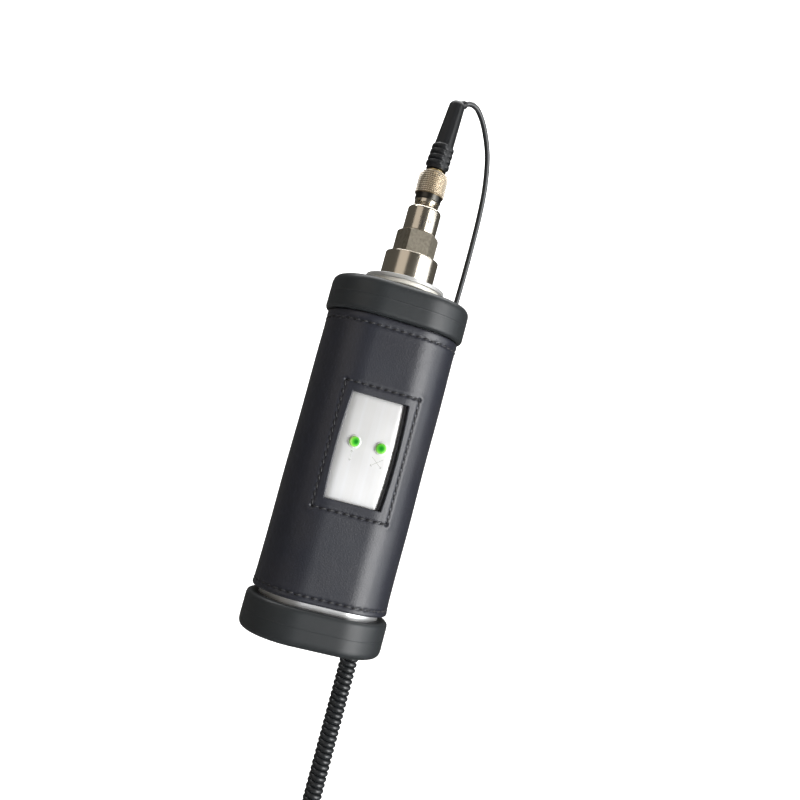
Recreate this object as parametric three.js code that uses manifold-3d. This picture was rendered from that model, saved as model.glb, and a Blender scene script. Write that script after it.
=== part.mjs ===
// Hand-held vibration calibrator: an oval aluminium body in a stitched leather sleeve with a
// rubber bumper on each end. A small vibrating table stands out of the top end and carries a
// magnet-mounted vibration sensor with its screw-on plug and curly lead.
// Millimetres, +Z up along the body, front towards -Y. The origin is the middle of the grip.

import * as THREE from 'three';
import { mergeVertices } from 'three/addons/utils/BufferGeometryUtils.js';
import Module from 'manifold-3d';

const wasm = await Module();
wasm.setup();

// ---------- driving dimensions ----------

const GAP = 0.3; // clearance between separate pieces
const ARC_STEPS = 4; // half the number of edges on each quarter arc of the oval

// The oval section: four corner arcs about (+-CORNER_X, +-CORNER_Y), so a radius names a layer.
const CORNER_X = 9.4;
const CORNER_Y = 0.8;
const LEATHER_RADIUS = 22.6;
const LEATHER_THICKNESS = 1.8;
const LINING_THICKNESS = 1.3;
const TUBE_RADIUS = 18.9;
const TUBE_WALL = 2.2;
const BUMPER_RADIUS = 24.3;
const BUMPER_EDGE = 4.5;
const BUMPER_OPENING_RADIUS = 15.8;

// Heights along the body
const BODY_HALF_HEIGHT = 84.1;
const BUMPER_HEIGHT = 17.1;
const BUMPER_LIP = 2.3;
const PLATE_THICKNESS = 2.5;
const LEATHER_TOP = 66.6;
const LEATHER_BOTTOM = -64.4;
const LINING_SETBACK = 0.9;

// Window in the sleeve
const WINDOW_HALF_WIDTH = 13.1;
const WINDOW_TOP = 31.0;
const WINDOW_BOTTOM = -17.9;
const LINING_SHOWN = 1.35; // the lining sits askew and shows inside the window's right side

// Indicator lamps
const LAMP_X = 6.25;
const LAMP_Z = 9.4;
const LAMP_RADIUS = 2.4;

// Charging socket and power button in the bottom plate
const SOCKET_X = 9.5;
const BUTTON_X = -9.5;
const BUTTON_RADIUS = 3.1;
const BUTTON_TRAVEL = 1;
const SWITCH_FACE = 73.2;

// End-plate screws and the screw ports that run down the tube
const SCREW_X = 19.5;
const SCREW_Y = 8.5;
const SCREW_SHANK_RADIUS = 1.25;
const SCREW_HEAD_RADIUS = 2.7;
const SCREW_LENGTH = 11;
const PORT_RADIUS = 4.2;

// Exciter
const EXCITER_RADIUS = 16.5;
const YOKE_BASE = 26;
const YOKE_HEIGHT = 20;
const SHAFT_RADIUS = 4;
const SHAFT_BASE = 53.9;
const FLEXURE_RADIUS = 13.8;
const FLEXURE_THICKNESS = 0.5;
const FLEXURE_LEVELS = { lower_flexure: 60, upper_flexure: 74 };

// Vibrating table and what stands on it
const DISC_RADIUS = 19.3;
const DISC_BASE = 87.3;
const DISC_THICKNESS = 1.9;
const DISC_HUB_RADIUS = 17.6;
const DISC_HUB_DEPTH = 1.9;
const MAGNET_RADIUS = 13;
const MAGNET_BASE = 89.5;
const MAGNET_HEIGHT = 13;
const HEX_ACROSS_FLATS = 18;
const HEX_HEIGHT = 11.4;
const SENSOR_RADIUS = 8.2;
const SENSOR_HEIGHT = 13.1;
const NUT_BASE = 129.2;

// Coupling nut, boot and plug, one set at each end of the lead
const NUT_SKIRT_RADIUS = 6.42;
const NUT_KNURL_RADIUS = 7.3;
const NUT_SKIRT_HEIGHT = 4.7;
const NUT_HEIGHT = 16.9;
const NUT_BORE_RADIUS = 5.2;
const BOOT_RIB_RADIUS = 5.9;
const BOOT_RIBS = 4;
const BOOT_RIB_PITCH = 2.9;
const BOOT_TIP_RADIUS = 3.8;
const BOOT_LENGTH = 37.1;
const BOOT_LEAN = 3 * Math.PI / 180;
const NOZZLE_TILT = 52 * Math.PI / 180;
const FAR_BOOT_LENGTH = 24;

// Lead
const LEAD_RADIUS = 1.4;
const LEAD_SIDES = 8;
const LEAD_STEP = 4.2;
const COIL_RADIUS = 4.7;
const COIL_X = 26.3;
const COIL_Y = 27.6;
const COIL_TOP = -36;
const COIL_BOTTOM = -196;
const FAR_BOOT_TOP = -222;

// ---------- derived levels ----------

const PLATE_OUTER = BODY_HALF_HEIGHT - BUMPER_LIP - GAP;
const PLATE_INNER = PLATE_OUTER - PLATE_THICKNESS;
const TUBE_HALF_HEIGHT = PLATE_INNER - GAP;
const HEX_BASE = MAGNET_BASE + MAGNET_HEIGHT + GAP;
const SENSOR_BASE = HEX_BASE + HEX_HEIGHT + GAP;
const SENSOR_TOP = SENSOR_BASE + SENSOR_HEIGHT;
const BOOT_BASE = NUT_BASE + NUT_HEIGHT + 1.3;

// ---------- finishes ----------

const finish = (color, roughness, metalness) => ({ color, roughness, metalness });
const LEATHER = finish(0x1b1c22, 0.5, 0);
const TEXTILE = finish(0x2b2b2e, 0.9, 0);
const RUBBER = finish(0x26282a, 0.6, 0);
const ALUMINIUM = finish(0xc9cccd, 0.35, 1);
const NICKEL = finish(0xbcb2a2, 0.22, 1);
const STEEL = finish(0x8d8a80, 0.4, 1);
const MAGNET = finish(0x4a4a4e, 0.4, 0.8);
const COPPER = finish(0xb0683c, 0.35, 1);
const BRASS = finish(0xc6a04c, 0.3, 1);
const BLACK_PLASTIC = finish(0x1a1b1d, 0.5, 0);
const WHITE_PLASTIC = finish(0xe4e2dc, 0.4, 0);
const GREEN_LENS = finish(0x2fa31f, 0.15, 0);
const BOARD = finish(0x1e5b38, 0.5, 0);
const CELL_WRAP = finish(0x3c6f8f, 0.4, 0);

// ---------- geometry helpers ----------

/** A mesh ready for joining or cutting, with shared vertices and no empty triangles. */
function toSolid(geometry) {
  const bare = geometry.clone();
  bare.deleteAttribute('normal');
  bare.deleteAttribute('uv');
  const merged = mergeVertices(bare, 1e-4);
  const corners = Array.from(merged.index.array);
  const kept = [];
  for (let i = 0; i < corners.length; i += 3) {
    const [a, b, c] = corners.slice(i, i + 3);
    if (a !== b && b !== c && c !== a) kept.push(a, b, c);
  }
  return new wasm.Manifold(new wasm.Mesh({
    numProp: 3,
    vertProperties: Float32Array.from(merged.attributes.position.array),
    triVerts: Uint32Array.from(kept),
  }));
}

function toGeometry(solid) {
  const mesh = solid.getMesh();
  const geometry = new THREE.BufferGeometry();
  geometry.setAttribute('position', new THREE.BufferAttribute(mesh.vertProperties, 3));
  geometry.setIndex(new THREE.BufferAttribute(mesh.triVerts, 1));
  geometry.computeVertexNormals();
  return geometry;
}

const cut = (base, ...tools) => toGeometry(
  tools.reduce((left, tool) => left.subtract(toSolid(tool)), toSolid(base)));
const join = (base, ...others) => toGeometry(
  others.reduce((sum, other) => sum.add(toSolid(other)), toSolid(base)));
const common = (a, b) => toGeometry(toSolid(a).intersect(toSolid(b)));

/** The body's oval outline as a layer of the given corner radius. */
function ovalPath(radius, PathType = THREE.Shape) {
  const path = new PathType();
  path.absarc(CORNER_X, CORNER_Y, radius, 0, Math.PI / 2);
  path.absarc(-CORNER_X, CORNER_Y, radius, Math.PI / 2, Math.PI);
  path.absarc(-CORNER_X, -CORNER_Y, radius, Math.PI, 1.5 * Math.PI);
  path.absarc(CORNER_X, -CORNER_Y, radius, 1.5 * Math.PI, 2 * Math.PI);
  path.closePath();
  return path;
}

function extrude(shape, low, high) {
  const geometry = new THREE.ExtrudeGeometry(shape,
    { depth: high - low, bevelEnabled: false, curveSegments: ARC_STEPS });
  return geometry.translate(0, 0, low);
}

const ovalSolid = (radius, low, high) => extrude(ovalPath(radius), low, high);

function ovalShell(outer, inner, low, high) {
  const shape = ovalPath(outer);
  shape.holes.push(ovalPath(inner, THREE.Path));
  return extrude(shape, low, high);
}

/** A turned piece about Z from a profile of [radius, height] points, outside upwards. */
function turned(profile, segments = 24) {
  const points = profile.map(([r, z]) => new THREE.Vector2(r, z));
  return new THREE.LatheGeometry(points, segments).rotateX(Math.PI / 2);
}

const rod = (radius, low, high, segments = 24) => turned(
  [[0, low], [radius, low], [radius, high], [0, high]], segments);
const ring = (outer, inner, low, high, segments = 24) => turned(
  [[outer, low], [outer, high], [inner, high], [inner, low], [outer, low]], segments);

function block(halfX, low, high, centre = [0, 0]) {
  const [y0, z0] = low;
  const [y1, z1] = high;
  const geometry = new THREE.BoxGeometry(2 * halfX, y1 - y0, z1 - z0);
  return geometry.translate(centre[0], (y0 + y1) / 2 + centre[1], (z0 + z1) / 2);
}

/** A rod lying along Y from low to high, about (x, z). */
const crossRod = (radius, low, high, x, z, segments = 20) =>
  rod(radius, -high, -low, segments).rotateX(Math.PI / 2).translate(x, 0, z);

/** A tube along hand-placed points, from exactly the first to exactly the last. */
function leadTube(points) {
  const curve = new THREE.CatmullRomCurve3(points.map((p) => new THREE.Vector3(...p)), false,
    'centripetal');
  const section = new THREE.Shape();
  for (let i = 0; i < LEAD_SIDES; i += 1) {
    const angle = 2 * Math.PI * i / LEAD_SIDES;
    const corner = [LEAD_RADIUS * Math.cos(angle), LEAD_RADIUS * Math.sin(angle)];
    if (i === 0) section.moveTo(...corner);
    else section.lineTo(...corner);
  }
  section.closePath();
  const steps = Math.max(2, Math.round(curve.getLength() / LEAD_STEP));
  return new THREE.ExtrudeGeometry(section, { steps, bevelEnabled: false, extrudePath: curve });
}

// ---------- assembly ----------

const calibrator = new THREE.Group();

function add(group, name, geometry, look, position = [0, 0, 0]) {
  const mesh = new THREE.Mesh(geometry, new THREE.MeshStandardMaterial(look));
  mesh.name = name;
  mesh.position.set(...position);
  group.add(mesh);
  return mesh;
}

function subgroup(parent, position = [0, 0, 0]) {
  const group = new THREE.Group();
  group.position.set(...position);
  parent.add(group);
  return group;
}

// ---------- body shell ----------

const corners = [[1, 1], [-1, 1], [-1, -1], [1, -1]].map(([x, y]) => [x * SCREW_X, y * SCREW_Y]);

function buildTube(group) {
  const reach = TUBE_HALF_HEIGHT;
  const shell = ovalShell(TUBE_RADIUS, TUBE_RADIUS - TUBE_WALL, -reach, reach);
  const ports = corners.map(([x, y]) => rod(PORT_RADIUS, -reach, reach, 16).translate(x, y, 0));
  const trimmed = common(join(shell, ...ports), ovalSolid(TUBE_RADIUS, -reach, reach));
  const drills = corners.map(([x, y]) =>
    rod(SCREW_SHANK_RADIUS + GAP, -reach - 1, reach + 1, 12).translate(x, y, 0));
  const lampHoles = [-LAMP_X, LAMP_X].map((x) =>
    crossRod(LAMP_RADIUS + GAP, -TUBE_RADIUS - 3, -12, x, LAMP_Z));
  add(group, 'housing_tube', cut(trimmed, ...drills, ...lampHoles), ALUMINIUM);
}

/** A rubber end bumper around the top end, its lip turned over the end plate. */
function bumperGeometry() {
  const low = BODY_HALF_HEIGHT - BUMPER_HEIGHT;
  const outside = new THREE.ExtrudeGeometry(ovalPath(BUMPER_RADIUS - BUMPER_EDGE), {
    depth: BUMPER_HEIGHT - 2 * BUMPER_EDGE,
    bevelEnabled: true,
    bevelSize: BUMPER_EDGE,
    bevelThickness: BUMPER_EDGE,
    bevelSegments: 3,
    curveSegments: ARC_STEPS,
  }).translate(0, 0, low + BUMPER_EDGE);
  const socket = ovalSolid(TUBE_RADIUS + GAP, low - 1, BODY_HALF_HEIGHT - BUMPER_LIP);
  const opening = ovalSolid(BUMPER_OPENING_RADIUS, low, BODY_HALF_HEIGHT + 1);
  return cut(outside, socket, opening);
}

function endPlate(...holes) {
  const plate = ovalSolid(TUBE_RADIUS, PLATE_INNER, PLATE_OUTER);
  const screwHoles = corners.map(([x, y]) =>
    rod(SCREW_SHANK_RADIUS + GAP, PLATE_INNER - 1, PLATE_OUTER + 1, 12).translate(x, y, 0));
  return cut(plate, ...screwHoles, ...holes);
}

/** A pan-head screw with a hexagon socket, standing on the end plate's outer face. */
function screwGeometry() {
  const seat = PLATE_OUTER + GAP;
  const top = seat + 1.7;
  const blank = turned([
    [0, seat - SCREW_LENGTH], [SCREW_SHANK_RADIUS, seat - SCREW_LENGTH],
    [SCREW_SHANK_RADIUS, seat], [SCREW_HEAD_RADIUS, seat], [SCREW_HEAD_RADIUS, seat + 0.7],
    [SCREW_HEAD_RADIUS * 0.62, top], [0, top],
  ], 12);
  return cut(blank, rod(1.15, top - 1, top + 1, 6));
}

const flip = (geometry) => geometry.rotateX(Math.PI);

function buildEnds(group) {
  add(group, 'top_bumper', bumperGeometry(), RUBBER);
  add(group, 'bottom_bumper', flip(bumperGeometry()), RUBBER);
  const centreHole = rod(10, PLATE_INNER - 1, PLATE_OUTER + 1, 32);
  add(group, 'top_end_plate', endPlate(centreHole), ALUMINIUM);
  add(group, 'dust_seal', ring(9.7, SHAFT_RADIUS + 0.6, PLATE_INNER + 0.6, PLATE_OUTER - 0.4, 32),
    RUBBER);
  corners.forEach(([x, y], i) => {
    add(group, `top_plate_screw_${i + 1}`, screwGeometry(), STEEL, [x, y, 0]);
    add(group, `bottom_plate_screw_${i + 1}`, flip(screwGeometry()), STEEL, [x, -y, 0]);
  });
}

// ---------- sleeve ----------

const windowCutter = (shown = 0) => block(WINDOW_HALF_WIDTH - shown / 2,
  [-LEATHER_RADIUS - 4, WINDOW_BOTTOM], [-6, WINDOW_TOP], [-shown / 2, 0]);

function buildSleeve(group) {
  const inside = LEATHER_RADIUS - LEATHER_THICKNESS;
  const leather = ovalShell(LEATHER_RADIUS, inside, LEATHER_BOTTOM, LEATHER_TOP);
  add(group, 'leather_sleeve', cut(leather, windowCutter()), LEATHER);
  const liningRadius = inside - GAP;
  const lining = ovalShell(liningRadius, liningRadius - LINING_THICKNESS,
    LEATHER_BOTTOM + LINING_SETBACK, LEATHER_TOP - LINING_SETBACK);
  add(group, 'sleeve_lining', cut(lining, windowCutter(LINING_SHOWN)), TEXTILE);
  const back = CORNER_Y + LEATHER_RADIUS + GAP;
  add(group, 'rear_seam_strip', block(7, [back, LEATHER_BOTTOM + 3], [back + 1.2, LEATHER_TOP - 4]),
    LEATHER);
}

// ---------- lamps and electronics ----------

function buildElectronics(group) {
  const face = -(CORNER_Y + TUBE_RADIUS);
  const lens = turned([
    [0, 14.2], [LAMP_RADIUS, 14.2], [LAMP_RADIUS, 20.3], [LAMP_RADIUS * 0.87, 21.3],
    [LAMP_RADIUS * 0.5, 21.9], [0, 22.1],
  ], 20).rotateX(Math.PI / 2);
  const bezel = ring(LAMP_RADIUS + 0.7, LAMP_RADIUS + GAP, -face + GAP, -face + 0.8, 20)
    .rotateX(Math.PI / 2);
  for (const [side, x] of [['left', -LAMP_X], ['right', LAMP_X]]) {
    add(group, `${side}_lamp_lens`, lens.clone(), GREEN_LENS, [x, 0, LAMP_Z]);
    add(group, `${side}_lamp_bezel`, bezel.clone(), ALUMINIUM, [x, 0, LAMP_Z]);
  }
  add(group, 'circuit_board', block(15.8, [-13.2, -68], [-11.6, 22]), BOARD);
  add(group, 'control_chip', block(6, [-11.3, -48], [-9.9, -36]), BLACK_PLASTIC);

  const cell = turned([
    [0, 0], [7.1, 0], [7.1, 49], [2.7, 49], [2.7, 50.4], [0, 50.4],
  ], 20);
  add(group, 'left_battery_cell', cell.clone(), CELL_WRAP, [-7.5, 4, -62.4]);
  add(group, 'right_battery_cell', cell.clone(), CELL_WRAP, [7.5, 4, -62.4]);
  const cradle = join(block(14.6, [11.5, -65], [13.4, -9]), block(14.6, [-3, -65], [12, -62.7]),
    block(14.6, [-3, -11.6], [12, -9]));
  add(group, 'battery_cradle', cradle, BLACK_PLASTIC);
}

// ---------- charging socket and power button in the bottom plate ----------

function buildBottomPlate(group) {
  const low = PLATE_INNER - 1;
  const high = PLATE_OUTER + 1;
  const plate = endPlate(rod(4.3, low, high, 20).translate(SOCKET_X, 0, 0),
    rod(4.9, low, high, 20).translate(BUTTON_X, 0, 0));
  add(group, 'bottom_end_plate', flip(plate), ALUMINIUM);

  const socket = turned([
    [0, 67.5], [3.9, 67.5], [3.9, PLATE_OUTER + GAP], [5.2, PLATE_OUTER + GAP],
    [5.2, PLATE_OUTER + 1.1], [2.9, PLATE_OUTER + 1.1], [2.9, 72], [1, 72],
    [1, PLATE_OUTER - 1], [0, PLATE_OUTER - 0.5],
  ], 16);
  add(group, 'charging_socket', flip(socket), BLACK_PLASTIC, [SOCKET_X, 0, 0]);

  const guide = turned([
    [4.6, 75], [4.6, PLATE_OUTER + GAP], [5.6, PLATE_OUTER + GAP], [5.6, PLATE_OUTER + 1.1],
    [BUTTON_RADIUS + GAP, PLATE_OUTER + 1.1], [BUTTON_RADIUS + GAP, 75], [4.6, 75],
  ], 20);
  add(group, 'button_guide', flip(guide), ALUMINIUM, [BUTTON_X, 0, 0]);
  add(group, 'button_switch', block(3.5, [-3.5, -SWITCH_FACE], [3.5, 4 - SWITCH_FACE], [BUTTON_X, 0]),
    BLACK_PLASTIC);
}

function buildButton(group) {
  const base = SWITCH_FACE + BUTTON_TRAVEL + GAP;
  const top = PLATE_OUTER + 2.1;
  const cap = turned([
    [0, base], [BUTTON_RADIUS, base], [BUTTON_RADIUS, top - 0.6], [BUTTON_RADIUS - 0.6, top],
    [0, top],
  ], 20);
  add(group, 'power_button', flip(cap), BLACK_PLASTIC, [BUTTON_X, 0, 0]);
}

// ---------- exciter fixed parts ----------

function buildExciter(group) {
  const top = YOKE_HEIGHT;
  const yoke = turned([
    [0, 0], [EXCITER_RADIUS, 0], [EXCITER_RADIUS, top], [10.9, top], [10.9, top - 5.5],
    [13.2, top - 6.5], [13.2, 5], [0, 5],
  ], 32);
  add(group, 'actuator_yoke', yoke, STEEL, [0, 0, YOKE_BASE]);
  add(group, 'drive_magnet', rod(8, 0, 8), MAGNET, [0, 0, YOKE_BASE + 5 + GAP]);
  add(group, 'pole_piece', rod(8.1, 0, 5.9), STEEL, [0, 0, YOKE_BASE + 13 + 2 * GAP]);

  const frameBase = YOKE_BASE + YOKE_HEIGHT + GAP;
  const frame = turned([
    [EXCITER_RADIUS, frameBase], [EXCITER_RADIUS, PLATE_INNER - GAP],
    [14.4, PLATE_INNER - GAP], [14.4, frameBase], [EXCITER_RADIUS, frameBase],
  ], 32);
  add(group, 'spring_frame', frame, ALUMINIUM);
  for (const [name, level] of Object.entries(FLEXURE_LEVELS)) {
    const shape = new THREE.Shape();
    shape.absarc(0, 0, FLEXURE_RADIUS, 0, 2 * Math.PI);
    const bore = new THREE.Path();
    bore.absarc(0, 0, SHAFT_RADIUS + GAP, 0, 2 * Math.PI);
    shape.holes.push(bore);
    for (let i = 0; i < 3; i += 1) {
      const start = i * 2 * Math.PI / 3;
      const slot = new THREE.Path();
      slot.absarc(0, 0, 10.2, start, start + 1.75);
      slot.absarc(0, 0, 8.6, start + 1.75, start, true);
      slot.closePath();
      shape.holes.push(slot);
    }
    add(group, name, extrude(shape, 0, FLEXURE_THICKNESS), STEEL, [0, 0, level]);
  }
}

// ---------- vibrating table ----------

function buildArmature(group) {
  const former = turned([
    [0, 12.2], [8.6, 12.2], [8.6, -3], [9.1, -3], [9.1, 13.6], [0, 13.6],
  ], 32);
  add(group, 'coil_former', former, WHITE_PLASTIC, [0, 0, 40]);
  add(group, 'voice_coil', ring(10.4, 9.1 + GAP, 0, 6), COPPER, [0, 0, 39.5]);
  add(group, 'reference_sensor', rod(3.5, 0, 4), NICKEL, [0, 0, 47.9]);
  const shaftLength = DISC_BASE - DISC_HUB_DEPTH - GAP - SHAFT_BASE;
  add(group, 'drive_shaft', rod(SHAFT_RADIUS, 0, shaftLength), ALUMINIUM, [0, 0, SHAFT_BASE]);
  const disc = turned([
    [0, -DISC_HUB_DEPTH], [DISC_HUB_RADIUS, -DISC_HUB_DEPTH], [DISC_HUB_RADIUS, 0],
    [DISC_RADIUS - 0.4, 0], [DISC_RADIUS, 0.4], [DISC_RADIUS, DISC_THICKNESS - 0.4],
    [DISC_RADIUS - 0.4, DISC_THICKNESS - 0.2], [MAGNET_RADIUS, DISC_THICKNESS - 0.2],
    [MAGNET_RADIUS, DISC_THICKNESS], [0, DISC_THICKNESS],
  ], 40);
  add(group, 'table_disc', disc, ALUMINIUM, [0, 0, DISC_BASE]);
}

function buildSensor(group) {
  const shell = turned([
    [8.6, 0], [MAGNET_RADIUS, 0], [MAGNET_RADIUS, MAGNET_HEIGHT - 0.8],
    [MAGNET_RADIUS - 0.8, MAGNET_HEIGHT], [2.9, MAGNET_HEIGHT], [2.9, 6], [8.6, 6], [8.6, 0],
  ], 32);
  add(group, 'magnet_shell', shell, NICKEL, [0, 0, MAGNET_BASE]);
  add(group, 'holding_magnet', rod(8.3, 0.2, 5.7), MAGNET, [0, 0, MAGNET_BASE]);
  add(group, 'mounting_stud', rod(2.5, 6.1, 18.4, 16), STEEL, [0, 0, MAGNET_BASE]);

  const hexRadius = HEX_ACROSS_FLATS / Math.sqrt(3);
  const prism = new THREE.CylinderGeometry(hexRadius, hexRadius, HEX_HEIGHT, 6)
    .rotateX(Math.PI / 2).rotateZ(Math.PI / 6).translate(0, 0, HEX_HEIGHT / 2);
  const chamfer = turned([
    [0, 0], [hexRadius - 0.8, 0], [hexRadius + 0.2, 1], [hexRadius + 0.2, HEX_HEIGHT - 1],
    [hexRadius - 0.8, HEX_HEIGHT], [0, HEX_HEIGHT],
  ], 36);
  const studHole = rod(2.8, -1, 5.6, 16);
  add(group, 'sensor_hex_base', cut(common(prism, chamfer), studHole), STEEL, [0, 0, HEX_BASE]);
  const housing = turned([
    [0, 0], [SENSOR_RADIUS, 0], [SENSOR_RADIUS, SENSOR_HEIGHT - 1.6],
    [SENSOR_RADIUS - 0.6, SENSOR_HEIGHT - 0.4], [SENSOR_RADIUS - 1.7, SENSOR_HEIGHT],
    [0, SENSOR_HEIGHT],
  ], 32);
  add(group, 'sensor_housing', housing, NICKEL, [0, 0, SENSOR_BASE]);
  add(group, 'connector_jack', ring(4.9, 3.9, 0, 9, 20), BRASS, [0, 0, SENSOR_TOP + GAP]);
}

// ---------- plug at either end of the lead ----------

function nutGeometry() {
  const skirt = NUT_SKIRT_HEIGHT;
  return turned([
    [NUT_BORE_RADIUS, 0], [NUT_SKIRT_RADIUS, 0], [NUT_SKIRT_RADIUS, skirt],
    [NUT_KNURL_RADIUS, skirt + 0.3], [NUT_KNURL_RADIUS, NUT_HEIGHT - 3.1],
    [NUT_KNURL_RADIUS - 0.4, NUT_HEIGHT - 1.5], [NUT_KNURL_RADIUS - 1.1, NUT_HEIGHT - 0.5],
    [NUT_KNURL_RADIUS - 2.1, NUT_HEIGHT],
    [4.5, NUT_HEIGHT], [4.5, NUT_HEIGHT - 3], [NUT_BORE_RADIUS, NUT_HEIGHT - 3],
    [NUT_BORE_RADIUS, 0],
  ], 24);
}

/** The plug's core: a contact barrel inside the nut, a collar, and a stem into the boot. */
function plugGeometry() {
  return turned([
    [0, 1.6], [3.5, 1.6], [3.5, NUT_HEIGHT - 4.6], [4.8, NUT_HEIGHT - 4.6],
    [4.8, NUT_HEIGHT - 3.4], [4.1, NUT_HEIGHT - 3.4], [4.1, NUT_HEIGHT + 1], [0, NUT_HEIGHT + 1],
  ], 20);
}

/** A boot with ribs low down, tapering to a round tip. */
function bootGeometry(length) {
  const firstRib = 1.4;
  const profile = [[0, 0], [BOOT_RIB_RADIUS - 0.6, 0], [BOOT_RIB_RADIUS - 0.9, firstRib]];
  for (let i = 0; i < BOOT_RIBS; i += 1) {
    const low = firstRib + i * BOOT_RIB_PITCH;
    const radius = BOOT_RIB_RADIUS - i * 0.12;
    profile.push([radius, low + 0.7], [radius, low + 1.7], [radius - 0.9, low + 2.4]);
  }
  profile.push([4.7, firstRib + BOOT_RIBS * BOOT_RIB_PITCH], [BOOT_TIP_RADIUS, length - 3],
    [BOOT_TIP_RADIUS * 0.7, length - 0.9], [0, length]);
  return turned(profile, 16);
}

function buildNearPlug(group) {
  add(group, 'plug_core', plugGeometry(), BRASS, [0, 0, NUT_BASE]);
  const nozzle = rod(2, 0, 4.2, 12).rotateY(NOZZLE_TILT).translate(0.43, 0, BOOT_LENGTH - 2.7);
  const boot = add(group, 'cable_boot', join(bootGeometry(BOOT_LENGTH), nozzle), RUBBER,
    [0, 0, BOOT_BASE]);
  boot.rotation.y = BOOT_LEAN;
}

// ---------- lead ----------

const LEAD_ROUTE = [
  [5.95, 0, 184.3], [7.5, 0.3, 185.2], [9.6, 1.2, 185.7], [11.8, 2.1, 185.2],
  [14.4, 3.3, 183.3], [18.0, 5.2, 179.3], [22.0, 7.6, 172.8], [24.9, 10.0, 166.8],
  [27.1, 12.5, 160.1], [28.9, 15.0, 152.4], [30.0, 17.2, 145.6], [30.9, 19.5, 137.0],
  [31.5, 21.5, 127.4], [31.9, 23.2, 116.8], [32.1, 24.7, 105.4], [32.1, 25.9, 93.0],
  [31.9, 26.9, 79.6], [31.3, 27.6, 65.2], [30.4, 28.0, 49.6], [29.3, 28.1, 32.6],
  [28.2, 28.0, 15.0], [27.3, 27.8, -2.6], [26.6, 27.7, -19.6], [COIL_X, COIL_Y, COIL_TOP + GAP],
];

function buildLead(group) {
  add(group, 'cable_lead', leadTube(LEAD_ROUTE), RUBBER);
  add(group, 'cable_coil', rod(COIL_RADIUS, COIL_BOTTOM, COIL_TOP, 16), RUBBER,
    [COIL_X, COIL_Y, 0]);
  add(group, 'cable_tail', leadTube([
    [COIL_X, COIL_Y, COIL_BOTTOM - GAP],
    [COIL_X, COIL_Y, (COIL_BOTTOM + FAR_BOOT_TOP) / 2],
    [COIL_X, COIL_Y, FAR_BOOT_TOP + GAP],
  ]), RUBBER);
  const farEnd = subgroup(group, [COIL_X, COIL_Y, FAR_BOOT_TOP - FAR_BOOT_LENGTH]);
  add(farEnd, 'far_boot', bootGeometry(FAR_BOOT_LENGTH), RUBBER);
  const farBase = NUT_HEIGHT + 1.3;
  add(farEnd, 'far_plug_core', plugGeometry(), BRASS, [0, 0, -farBase]);
  return subgroup(farEnd, [0, 0, -farBase]);
}

// ---------- put together ----------

const housing = subgroup(calibrator);
buildTube(housing);
buildEnds(housing);
buildSleeve(housing);
buildElectronics(housing);
buildBottomPlate(housing);
buildExciter(housing);

const button = subgroup(calibrator);
buildButton(button);

const table = subgroup(calibrator);
buildArmature(table);
buildSensor(table);
buildNearPlug(table);
const farNutPlace = buildLead(table);

const couplingNut = subgroup(table, [0, 0, NUT_BASE]);
add(couplingNut, 'coupling_nut', nutGeometry(), NICKEL);
add(farNutPlace, 'far_coupling_nut', nutGeometry(), NICKEL);

export default calibrator;
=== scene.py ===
"""Builds the looks of a hand-held vibration calibrator with its magnet-mounted sensor.

Sizes are in millimetres in the code and become metres in each finished mesh. +Z is up along the
body and the front faces -Y.
"""

import math
from functools import cache, partial
from operator import attrgetter

import bmesh
import bpy
import numpy as np
from mathutils import Matrix, Vector


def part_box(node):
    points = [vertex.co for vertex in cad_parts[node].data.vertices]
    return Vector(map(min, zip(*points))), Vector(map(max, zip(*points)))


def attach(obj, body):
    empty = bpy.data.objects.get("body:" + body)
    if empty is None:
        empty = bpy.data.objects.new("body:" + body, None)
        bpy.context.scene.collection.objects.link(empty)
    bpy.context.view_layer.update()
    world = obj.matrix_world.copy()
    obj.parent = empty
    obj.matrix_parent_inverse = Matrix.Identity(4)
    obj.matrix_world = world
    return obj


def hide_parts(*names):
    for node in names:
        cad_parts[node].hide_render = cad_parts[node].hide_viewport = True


bl_info = {
    "name": "Vibration calibrator looks",
    "version": (1, 0, 0),
    "blender": (4, 5, 0),
    "location": "3D View > Sidebar > Calibrator",
    "description": "Builds a vibration calibrator's sleeve, bumpers, metalwork, sensor and lead",
    "category": "Object",
}

MM = 0.001

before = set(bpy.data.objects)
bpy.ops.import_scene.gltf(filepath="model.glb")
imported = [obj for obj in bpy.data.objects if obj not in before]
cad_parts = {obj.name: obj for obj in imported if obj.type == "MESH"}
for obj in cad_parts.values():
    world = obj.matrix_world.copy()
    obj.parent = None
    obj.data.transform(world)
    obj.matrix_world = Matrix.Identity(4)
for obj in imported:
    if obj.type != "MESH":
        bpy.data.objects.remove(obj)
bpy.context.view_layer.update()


def cad_box(node):
    """A CAD node's lowest and highest corners, in millimetres."""
    low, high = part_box(node)
    return Vector(low) / MM, Vector(high) / MM


# ---------- sizes ----------

# The oval body: four corners of the same radius around these centres
CORNER_X = 9.4
CORNER_Y = 0.8
BUMPER_LOW, BUMPER_HIGH = cad_box("top_bumper")
SLEEVE_LOW, SLEEVE_HIGH = cad_box("leather_sleeve")
TUBE_LOW, TUBE_HIGH = cad_box("housing_tube")
LEATHER_RADIUS = SLEEVE_HIGH.x - CORNER_X
TUBE_RADIUS = TUBE_HIGH.x - CORNER_X
BUMPER_RADIUS = BUMPER_HIGH.x - CORNER_X
OVAL_LENGTH = 2 * math.pi * LEATHER_RADIUS + 4 * (CORNER_X + CORNER_Y)
PANEL_FACE = CORNER_Y + TUBE_RADIUS

# The lamps in the front
LAMP_X = 6.25
LAMP_Z = 9.4
LENS_RADIUS = 2.4
DRILL_RADIUS = 2.6

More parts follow.
